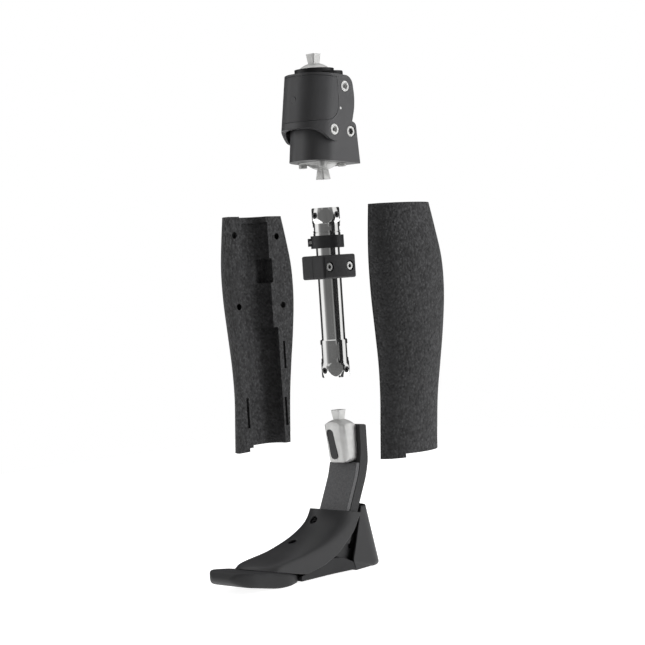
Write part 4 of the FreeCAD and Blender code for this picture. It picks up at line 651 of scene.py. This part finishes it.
def hollowed(half_calf, side):
    """A calf half with its channels, pocket, slots, peg holes and pegs."""
    tools = [
        plate(BLADE_CHANNEL, *CHANNEL_HEIGHTS, "plan"),
        rod(26, 141.5, (0, 0, 376.75), vertices=96),
        rod(24, 24, (0, 0, 458.5), vertices=96),
        soften(brick(43, 61, 33, (0, 0, 383)), 2.0),
        soften(brick(14, 4, 40, (0, 30, 198)), 0.6),
        soften(brick(14, 4, 38, (0, -39.5, 194)), 0.6),
        soften(brick(14, 4, 37, (0, -43, 269.5)), 0.6),
        brick(180, 180, 24, (0, -59, 140)),
    ]
    carve(half_calf, *tools)
    for front, height, pegged in PEGS:
        if pegged == side:
            peg = soften(rod(PEG_RADIUS, 2 * PEG_LENGTH, (0, front, height), "X", 40), 0.8)
            carve(half_calf, peg, join=True)
        else:
            carve(half_calf, rod(PEG_RADIUS + PEG_GAP, 2 * PEG_LENGTH, (0, front, height), "X", 40))
    return soften(half_calf, 0.9, 50, 3)


# %% Two calf halves
for cover_name, cover_side, cover_out in COVERS:
    cover = hollowed(trimmed(closed_calf(), cover_side), cover_side)
    edit(cover)
    bpy.ops.mesh.select_all(action="SELECT")
    bpy.ops.transform.translate(value=(cover_side * cover_out * MM, 0, 0))
    seat(cover, cover_name + "_foam", cover_name, "foam", cover_name)

# %% [markdown]
# ## Knee shell, pad and housing
#
# The knee's front link is a moulded shell: round in front, open behind, and leaning back as it rises. By
# hand it's a plate seen from above, with its two front corners rounded until they nearly meet, whose top
# is then moved back. The side outline, with its two ears, is a second plate, and the shell is what the two
# have in common. A smaller column takes out the inside.

# %% A leaning column with a round front
NEAR = 0.01


def leaning_column(halves, fronts, rears, heights, front_corner=None, rear_corner=None):
    """A column from a plan with rounded corners. Each pair gives a size at its foot and at its top."""
    ahead = (front_corner,) if front_corner else ()
    behind = (rear_corner,) if rear_corner else ()
    half, front, rear = halves[0], fronts[0], rears[0]
    plan = [(-half, -rear) + behind, (-half, front) + ahead, (half, front) + ahead, (half, -rear) + behind]
    column = plate(plan, heights[0], heights[1], "plan", segments=24)
    edit(column)
    at_top = (heights[1] - NEAR) * MM
    moves = (
        (lambda spot: -spot.y > (front - (front_corner or 0) - NEAR) * MM, (0, fronts[0] - fronts[1], 0)),
        (lambda spot: spot.y > (rear - (rear_corner or 0) - NEAR) * MM, (0, rears[1] - rears[0], 0)),
        (lambda spot: spot.x > 1 * MM, (halves[1] - halves[0], 0, 0)),
        (lambda spot: spot.x < -1 * MM, (halves[0] - halves[1], 0, 0)),
    )
    for belongs, move in moves:
        chosen = pick(column, "VERT", lambda spot: spot.co.z > at_top and belongs(spot.co))
        if chosen and any(move):
            bpy.ops.transform.translate(value=Vector(move) * MM)
    return only(column)


# %% The shell's sizes
SHELL_HALF, SHELL_REAR = 39, 32
SHELL_FRONT = (53.4, 38)
SHELL_HEIGHTS = (540, 630)
SHELL_LEAN = (SHELL_FRONT[0] - SHELL_FRONT[1]) / (SHELL_HEIGHTS[1] - SHELL_HEIGHTS[0])
SHELL_CORNER = 34
SHELL_SIDE = [(58.4, 628.5), (-22.6, 621.2, 12.8), (-26.5, 588, 60), (-18.8, 563.4, 2.5), (-14.6, 563, 2),
              (3.5, 540, 12), (20, 540, 15), (38, 556.8, 22), (58.4, 557.8)]
PAD_GAP, PAD_INSET, PAD_DEPTH = 0.45, 2.2, 3
SCREW_RECESS, AXLE_HOLE = 7.6, 4.5
SIDES = (-1, 1)
PIVOTS = {"front": (13.7, 554), "upper": (-9.6, 608), "rear": (-20.6, 552)}


def pad_side(gap):
    """The side outline of the front pad, set in by a gap."""
    rear, low = 3 + gap, 565.5 + gap
    return [(62.4, 626 - gap), (rear, 619.9 - gap, 3), (rear, low, 22 - gap), (62.4, low)]


def shell_column(inset, front_inset, past=0):
    """The shell's form, set in at its sides and its front, and longer at both ends by a length."""
    drift = past * SHELL_LEAN
    fronts = (SHELL_FRONT[0] - front_inset + drift, SHELL_FRONT[1] - front_inset - drift)
    rear = SHELL_REAR + past
    heights = (SHELL_HEIGHTS[0] - past, SHELL_HEIGHTS[1] + past)
    return leaning_column((SHELL_HALF - inset,) * 2, fronts, (rear, rear), heights, SHELL_CORNER - inset)


print("the shell leans back", round(math.degrees(math.atan(SHELL_LEAN)), 1), "degrees")

# %% Shell
shell = carve(shell_column(0, 0), plate(SHELL_SIDE, -60, 60), keep=True)
carve(shell, leaning_column((35, 35), (48.1, 29.3), (40, 40), (530, 640), 29))
pad_layer = carve(shell_column(-1, -1), plate(pad_side(0), -60, 60), keep=True)
carve(shell, carve(pad_layer, shell_column(PAD_INSET, PAD_DEPTH, 5)))
for pivot in ("front", "upper"):
    for side in SIDES:
        carve(shell, rod(SCREW_RECESS, 8, (side * 41.4, *PIVOTS[pivot]), "X", 48))
        carve(shell, rod(AXLE_HOLE, 8, (side * 35, *PIVOTS[pivot]), "X", 48))
soften(shell, 0.7, 40)
seat(shell, "knee_shell", "knee_link", "knee_plastic", "link_frame")

# %% [markdown]
# The front pad is a layer of the same form, cut to its own side outline and let into the shell. Both
# edges are softened a little, so that the joint between them shows as a fine dark line, as on the real one.

# %% Front pad
pad = carve(shell_column(0, 0), plate(pad_side(PAD_GAP), -60, 60), keep=True)
carve(pad, shell_column(PAD_INSET, PAD_DEPTH, 5))
carve(pad, rod(4.1, 20, (0, 44, 594), "Y", 48))
soften(pad, 0.6, 40)
seat(pad, "knee_front_pad", "knee_link", "knee_pad", "front_pad")

# %% [markdown]
# The housing below is the four-bar's lower link. It has the same kind of plan, and it widens towards its
# foot. Its side outline runs over the rear ear. A slot lets the rear link in, a square recess below takes
# the adapter's flange, and the pocket in front takes the stop.

# %% Housing
HOUSING_SIDE = [(52.6, 518.6), (52.6, 567), (0, 567), (-8, 564.8), (-32.6, 564.8, 12), (-32.8, 543),
                (-37, 511.3)]
ADAPTER_RECESS = [(-23.3, -23.3, 6), (-23.3, 23.3, 6), (23.3, 23.3, 6), (23.3, -23.3, 6)]
STOP_POCKET = [(-22, 4, 4), (-22, 28.8, 16), (22, 28.8, 16), (22, 4, 4)]
housing = leaning_column((34.5, 34.5), (43.6, 34.8), (36.9, 32.4), (505, 568), 30, 5)
carve(housing, plate(HOUSING_SIDE, -60, 60), keep=True)
carve(housing, brick(19, 60, 60, (0, -36, 571)))
carve(housing, plate(ADAPTER_RECESS, 489, 519, "plan"))
carve(housing, plate(STOP_POCKET, 532, 600, "plan"))
for side in SIDES:
    carve(housing, rod(SCREW_RECESS, 8, (side * 35, *PIVOTS["rear"]), "X", 48))
    carve(housing, rod(6.1, 8, (side * 34, *PIVOTS["front"]), "X", 48))
soften(housing, 0.9, 40)
seat(housing, "knee_housing_shell", "knee_base", "knee_plastic", "knee_housing")

# %% [markdown]
# ## Foot
#
# The foot's rubber and plastic pieces have soft, melted-looking edges that no bevel follows well where
# curved faces meet. Each is cut roughly to shape first. Then it is remeshed in small even squares, and
# smoothed: flat places stay flat, and the edges melt. More rounds of smoothing melt them further.

# %% Melting the edges
def melt(piece, square, rounds):
    """Remeshes a piece in even squares and smooths it, which rounds its edges."""
    only(piece)
    piece.data.remesh_voxel_size = square * MM
    bpy.ops.object.voxel_remesh()
    smooth = piece.modifiers.new("melt", "SMOOTH")
    smooth.factor, smooth.iterations = 0.5, rounds
    bpy.ops.object.modifier_apply(modifier=smooth.name)
    return piece


# %% [markdown]
# The toe pad is a thick rubber pad that turns up towards its tip. Its side outline gives the upturn and its
# plan the rounded tip. What the two have in common is the rough form, and a long melt makes it soft.

# %% Toe pad
TOE_SIDE = [(114, 0), (155, 0, 80), (205, 9, 30), (221.2, 18, 6), (212.7, 28.5, 7), (176, 24, 70),
            (114, 11.6)]
TOE_PLAN = [(-25, 113), (-37, 136, 30), (-35, 221.2, 32), (35, 221.2, 32), (37, 136, 30), (25, 113)]
toe = carve(plate(TOE_SIDE, -70, 70), plate(TOE_PLAN, -5, 60, "plan"), keep=True)
melt(toe, 1.3, 44)
seat(toe, "toe_pad_rubber", "foot", "sole_rubber", "toe_pad", smooth=60)

# %% [markdown]
# The waist joins the toe pad to the heel. It is made in the same way, but its edges stay crisper, so it is
# melted less.

# %% Waist of the sole
WAIST_SIDE = [(16.8, 1.5), (113, 1.5), (113, 8), (91, 14, 30), (53, 22, 50), (38, 20, 20), (20.2, 12)]
WAIST_PLAN = [(-30, 16), (-28, 56.5, 120), (-31, 114), (31, 114), (28, 56.5, 120), (30, 16)]
waist = carve(plate(WAIST_SIDE, -31, 31), plate(WAIST_PLAN, -5, 60, "plan"), keep=True)
melt(waist, 1.0, 4)
seat(waist, "waist_sole_rubber", "foot", "sole_rubber", "waist_sole", smooth=60)

# %% [markdown]
# The heel cup is a leaning column turned round: square towards the front and round behind, wide at the
# floor and narrow at the ankle. A smaller column hollows it, and a side outline cuts its curved front.

# %% Heel cup
HEEL_SIDE = [(-82, 0), (16, 0), (19, 14, 8), (14, 26, 20), (-5, 78), (-82, 78)]
HEEL_EDGE = 5
heel = leaning_column((30, 24.5), (48, 48), (41, 27.5), (0, 78), None, 24)
carve(heel, plate(HEEL_SIDE, -60, 60), keep=True)
edit(heel)
pick(heel, "EDGE", lambda edge: max(spot.co.z for spot in edge.verts) < 0.1 * MM
     and min(spot.co.y for spot in edge.verts) > -15.8 * MM)
bpy.ops.mesh.bevel(offset=HEEL_EDGE * MM, segments=5)
carve(heel, leaning_column((26, 20.9), (60, 60), (35.9, 23.4), (11, 83), None, 20.8))
melt(heel, 0.9, 4)
seat(heel, "heel_cup_shell", "foot", "foot_shell", "heel_cup", smooth=60)

# %% [markdown]
# The instep cover draws back towards the ankle as it rises. It is drawn up ring by ring like the calf, but
# each ring is longer: a circle whose rear half stays behind while its front half draws back. The same form,
# set in by the wall's thickness and lowered by it, hollows the cover out.

# %% The instep's measured levels
INSTEP_LEVELS = ((4, 200, 34, 34), (27, 178, 34, 36), (35, 136, 34, 46), (43, 107, 34, 50),
                 (50.5, 86, 33.8, 48), (60, 67, 33.4, 43), (68, 57, 33, 39), (80, 49.5, 32.6, 36),
                 (95, 44, 32, 34))
LOW_RINGS = [27 + ring * 16 / 14 for ring in range(1, 15)]
HIGH_RINGS = [43 + ring * 52 / 24 for ring in range(1, 25)]
INSTEP_HEIGHTS = [4, 16, 27] + LOW_RINGS + HIGH_RINGS
INSTEP_REAR = 2


def instep_form(inset):
    """The top of the foot as a solid, set in and lowered by a distance."""
    front, half, corner = (size - inset for size in between(INSTEP_LEVELS, INSTEP_HEIGHTS[0]))
    low = INSTEP_HEIGHTS[0] - inset
    only(None)
    bpy.ops.mesh.primitive_circle_add(vertices=96, radius=MM, fill_type="NGON", location=(0, 0, low * MM))
    form = bpy.context.object
    bpy.ops.object.transform_apply(location=True)
    edit(form)
    bpy.ops.mesh.select_all(action="SELECT")
    bpy.ops.transform.resize(value=(half, corner, 1), center_override=(0, 0, low * MM))
    pick(form, "VERT", lambda spot: spot.co.y < -0.01 * MM)
    bpy.ops.transform.translate(value=(0, -(front - corner) * MM, 0))
    pick(form, "VERT", lambda spot: spot.co.y > -0.01 * MM)
    bpy.ops.transform.translate(value=(0, INSTEP_REAR * MM, 0))
    below = low * MM
    for height in INSTEP_HEIGHTS[1:]:
        new_front, new_half, new_corner = (size - inset for size in between(INSTEP_LEVELS, height))
        level = (height - inset) * MM
        pick(form, "FACE", lambda face: min(spot.co.z for spot in face.verts) > below - 1e-5)
        bpy.ops.mesh.extrude_region_move(TRANSFORM_OT_translate={"value": (0, 0, level - below)})
        bpy.ops.transform.resize(value=(new_half / half, 1, 1), center_override=(0, 0, level))
        middle = -(front - corner) * MM
        pick(form, "VERT", lambda spot: spot.co.z > level - 1e-5 and spot.co.y < middle + 1e-5)
        bpy.ops.transform.resize(value=(1, new_corner / corner, 1), center_override=(0, middle, level))
        bpy.ops.transform.translate(value=(0, ((front - corner) - (new_front - new_corner)) * MM, 0))
        front, half, corner, below = new_front, new_half, new_corner, level
    bpy.ops.mesh.select_all(action="SELECT")
    bpy.ops.mesh.normals_make_consistent(inside=False)
    return only(form)


# %% Instep cover
INSTEP_WALL = 2.8
INSTEP_HOLES = ((56.5, 67.5, 45), (96, 47, 18))
INSTEP_SIDE = [(4, 72), (20, 50, 30), (50, 26, 60), (75, 16, 60), (105, 9.8, 20), (115, 11.3), (200, 29.3),
               (200, 82), (52, 82)]
instep = carve(melt(instep_form(0), 1.6, 14), plate(INSTEP_SIDE, -70, 70), keep=True)
carve(instep, melt(instep_form(INSTEP_WALL), 1.6, 14))
for front, height, lean in INSTEP_HOLES:
    carve(instep, rod(5.6, 30, (0, front, height), (math.radians(lean), 0, 0), 48))
melt(instep, 0.8, 3)
seat(instep, "instep_shell", "foot", "foot_shell", "instep_cover", smooth=60)

# %% [markdown]
# Two screws hold the cover. Each sits deep in its hole and leans with it, so its head is moved down along
# the hole's own axis. The two heads are then one piece.

# %% Screws under the instep
SCREW_SUNK = 6
sunk_screws = None
for front, height, lean in INSTEP_HOLES:
    tilt = math.radians(lean)
    place = (0, front - SCREW_SUNK * math.sin(tilt), height - SCREW_SUNK * math.cos(tilt))
    head = soften(rod(4.6, 5, place, (tilt, 0, 0), 40), 0.6)
    carve(head, rod(2.3, 12, place, (tilt, 0, 0), 6))
    sunk_screws = carve(sunk_screws, head, join=True) if sunk_screws else head
seat(sunk_screws, "instep_screw_heads", "foot", "dark_screw", "instep_screws")

# %% [markdown]
# ## Blade
#
# The blade is a thick strip of fibre laminate: upright behind the adapter, then bent forward into the foot.
# It is one plate whose bend is a large rounding on the outline, drawn finely enough to look smooth. A plan
# with rounded corners takes its two rear edges off, where the calf's channel is narrow. A second, thinner
# strip lies in front of it.

# %% Blade and its facing
BLADE_HALF, BLADE_LEAN = 23.8, 0.466
BLADE_FOOT, BLADE_BEND, BLADE_TOP, FACING_TOP = 34, 133, 181, 133.4
BLADE_PLAN = [(-24.1, -27.2, 5.6), (24.1, -27.2, 5.6), (24.1, 90), (-24.1, 90)]
FOOT_SHIFT = (BLADE_BEND - BLADE_FOOT) * BLADE_LEAN


def strip(front, rear, bend, corner):
    """One bent strip between two faces, with its bend's radius in front and its top corner's behind."""
    side = [(front, BLADE_TOP), (front, BLADE_BEND, bend), (front + FOOT_SHIFT, BLADE_FOOT),
            (rear + FOOT_SHIFT, BLADE_FOOT), (rear, BLADE_BEND, bend + front - rear),
            (rear, BLADE_TOP, corner)]
    return plate(side, -BLADE_HALF, BLADE_HALF, segments=24)


blade = carve(strip(-12.4, -27, 110, 8), plate(BLADE_PLAN, 20, 200, "plan"), keep=True)
soften(blade, 0.9, 50)
seat(blade, "shank_blade_laminate", "foot", "blade", "shank_blade")
facing = strip(-4.95, -11.8, 103, 1)
edit(facing)
bpy.ops.mesh.select_all(action="SELECT")
bpy.ops.mesh.bisect(plane_co=(0, 0, FACING_TOP * MM), plane_no=(0, 0, 1), use_fill=True, clear_outer=True)
soften(facing, 0.9, 50)
seat(facing, "shank_facing_laminate", "foot", "facing", "shank_facing")

# %% [markdown]
# ## Machined pieces
#
# The receivers, adapters, ring and blocks are turned and milled, and the CAD already has their exact
# shapes. What it lacks is the fine break along each edge, which catches the light. So each is a copy of its
# CAD node: merge the loose triangles, dissolve the flat ones into whole faces, and bevel the sharp edges.
# Two of the copies are also cut: the thigh block's shoulder and rear corners are rounded, and the slanted
# slot in the front of the foot's adapter is made a little wider.

# %% Copies with broken edges
BLOCK_SHOULDER = [(-9, 620.8), (-40, 620.8), (-40, 604), (-21.1, 604), (-21.1, 619.5, 11.5), (-9, 619.5)]
BLOCK_PLAN = [(-34.5, -24, 20), (34.5, -24, 20), (34.5, 60), (-34.5, 60)]
SLOT_ENDS = ((-2.4, 138.5), (-6.4, 177))
SLOT_HALF, SLOT_FLOOR = 6.2, 3


def slot_outline(inset=0):
    """The adapter's slanted slot, as seen from the front."""
    (low_side, low), (high_side, high) = SLOT_ENDS
    half = SLOT_HALF - inset
    corner = half * 0.93
    return [(low_side - half, low + inset, corner), (low_side + half, low + inset, corner),
            (high_side + half, high - inset, corner), (high_side - half, high - inset, corner)]


def extra_cuts(node):
    """The tools that cut a node's copy before its edges are broken, if any."""
    if node == "thigh_block":
        corners = carve(brick(120, 60, 20, (0, -30, 630.8)), plate(BLOCK_PLAN, 615, 645, "plan"))
        return [plate(BLOCK_SHOULDER, -60, 60), corners]
    if node == "foot_adapter":
        return [plate(slot_outline(), SLOT_FLOOR, 20, "front")]
    return []


def broken_edges(node, name, body, slot, width):
    """A copy of a CAD node with its sharp edges broken by a width."""
    only(frame["nodes"][node])
    bpy.ops.object.duplicate()
    piece = bpy.context.object
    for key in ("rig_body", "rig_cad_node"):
        del piece[key]
    piece.parent = None
    edit(piece)
    bpy.ops.mesh.select_all(action="SELECT")
    bpy.ops.mesh.remove_doubles(threshold=0.002 * MM)
    bpy.ops.mesh.dissolve_limited(angle_limit=math.radians(0.5))
    carve(piece, *extra_cuts(node))
    soften(piece, width, 35, 2)
    return seat(piece, name, body, slot, node)


MACHINED = (
    ("lower_receiver", "lower_receiver_steel", "pylon", "steel", 0.5),
    ("upper_receiver", "upper_receiver_steel", "pylon", "steel", 0.5),
    ("clamp_ring", "clamp_ring_moulded", "pylon", "block_plastic", 0.7),
    ("foot_adapter", "foot_adapter_steel", "foot", "bright_steel", 0.8),
    ("upper_adapter", "upper_adapter_steel", "thigh", "bright_steel", 0.5),
    ("knee_adapter", "knee_adapter_steel", "knee_base", "bright_steel", 0.5),
    ("thigh_block", "thigh_block_cast", "thigh", "block_metal", 0.9),
)
for node, name, body, slot, width in MACHINED:
    broken_edges(node, name, body, slot, width)

# %% [markdown]
# ## Screws
#
# The screws that show on the knee and on the clamp block are turned steel with a hexagon socket. In the
# record the axles' screws are dark, but in the picture they shine too. One function turns them all: a short
# rod, its rim rounded, with a six-sided hole. The screws of one CAD node are then one piece.

# %% Socket screws
HEAD_RIM = 0.8


def socket_screw(radius, socket, height, at, along):
    """A screw head centred at a place, with a hexagon socket that is given as its corner radius."""
    head = soften(rod(radius, height, at, along, 56), HEAD_RIM)
    return carve(head, rod(socket, height + 4, at, along, 6))


def socket_screws(name, body, node, radius, socket, height, places, along="X"):
    """One piece that holds the bright screws at all the given places, instead of a CAD node."""
    screws = None
    for place in places:
        screw = socket_screw(radius, socket, height, place, along)
        screws = carve(screws, screw, join=True) if screws else screw
    return seat(screws, name, body, "bright_steel", node)


# %% The knee's screws
HEAD_RADIUS, SOCKET_RADIUS, HEAD_HEIGHT, HEAD_PROUD = 7.0, 4.3, 3, 0.4
AXLE_SCREWS = (("front", "knee_link", 39), ("upper", "knee_link", 39), ("rear", "knee_base", 33.4))
for pivot, body, face in AXLE_SCREWS:
    middle = face - HEAD_HEIGHT / 2 + HEAD_PROUD
    places = [(side * middle, *PIVOTS[pivot]) for side in SIDES]
    node = pivot + "_axle_screws"
    socket_screws(node + "_turned", body, node, HEAD_RADIUS, SOCKET_RADIUS, HEAD_HEIGHT, places)

FLANGE_SCREW_HALF, FLANGE_SCREW_MIDDLE = 17.5, 512.25
square = [(side * FLANGE_SCREW_HALF, front * FLANGE_SCREW_HALF, FLANGE_SCREW_MIDDLE)
          for side in SIDES for front in SIDES]
socket_screws("flange_screws_turned", "knee_base", "flange_screws", 5.2, 3.0, 6.5, square, "Z")

# %% [markdown]
# ## Clamp block
#
# The block that carries the calf covers is moulded in two halves, which two screws draw together round the
# tube. It is modelled whole, with its corners rounded, then bored, and cut in two at the joint.

# %% Clamp block
BLOCK_SIZE, BLOCK_HEIGHT, BLOCK_MIDDLE = (40, 58), 30, 383
BLOCK_SCREW_FRONT, BLOCK_JOINT, TUBE_BORE = 18.2, 0.15, 15.1
BLOCK_SCREW_FRONTS = (-BLOCK_SCREW_FRONT, BLOCK_SCREW_FRONT)


def block_half(side):
    """One half of the clamp block, on the side given as 1 or -1."""
    block = soften(brick(*BLOCK_SIZE, BLOCK_HEIGHT, (0, 0, BLOCK_MIDDLE)), 2.6, segments=5)
    carve(block, rod(TUBE_BORE, 40, (0, 0, BLOCK_MIDDLE), vertices=96))
    for front in BLOCK_SCREW_FRONTS:
        carve(block, rod(6.6, 6, (side * 20, front, BLOCK_MIDDLE), "X", 48))
    edit(block)
    bpy.ops.mesh.select_all(action="SELECT")
    bpy.ops.mesh.bisect(plane_co=(side * BLOCK_JOINT * MM, 0, 0), plane_no=(-side, 0, 0), use_fill=True,
                        clear_outer=True)
    return soften(block, 0.2, 50, 2)


seat(block_half(1), "near_block_moulded", "pylon", "block_plastic", "near_clamp_block")
seat(block_half(-1), "far_block_moulded", "pylon", "block_plastic", "far_clamp_block")
heads = [(17.8, front, BLOCK_MIDDLE) for front in BLOCK_SCREW_FRONTS]
socket_screws("block_screws_turned", "pylon", "block_screws", 5.3, 2.9, 3, heads)

# %% [markdown]
# The slot in the foot's adapter is filled with painted shade: a black piece that stands for the shadow
# deep in the slot. It fills the slot's outline, and its side outline keeps it a little below the adapter's
# own sloped front. It replaces no CAD node.

# %% Painted shade in the slot
SLOT_SHADE_BACK = SLOT_FLOOR - 1
SLOT_SHADE_SIDE = [(SLOT_SHADE_BACK, 130), (9.2, 134), (11.2, 176), (9, 186), (SLOT_SHADE_BACK, 186)]
# Painted shade: a black piece that darkens the slot as its shadow would.
slot_shade = carve(plate(slot_outline(0.1), SLOT_SHADE_BACK, 20, "front"), plate(SLOT_SHADE_SIDE, -30, 30), keep=True)
seat(soften(slot_shade, 0.4, 50, 2), "adapter_slot_shade", "foot", "block_plastic")
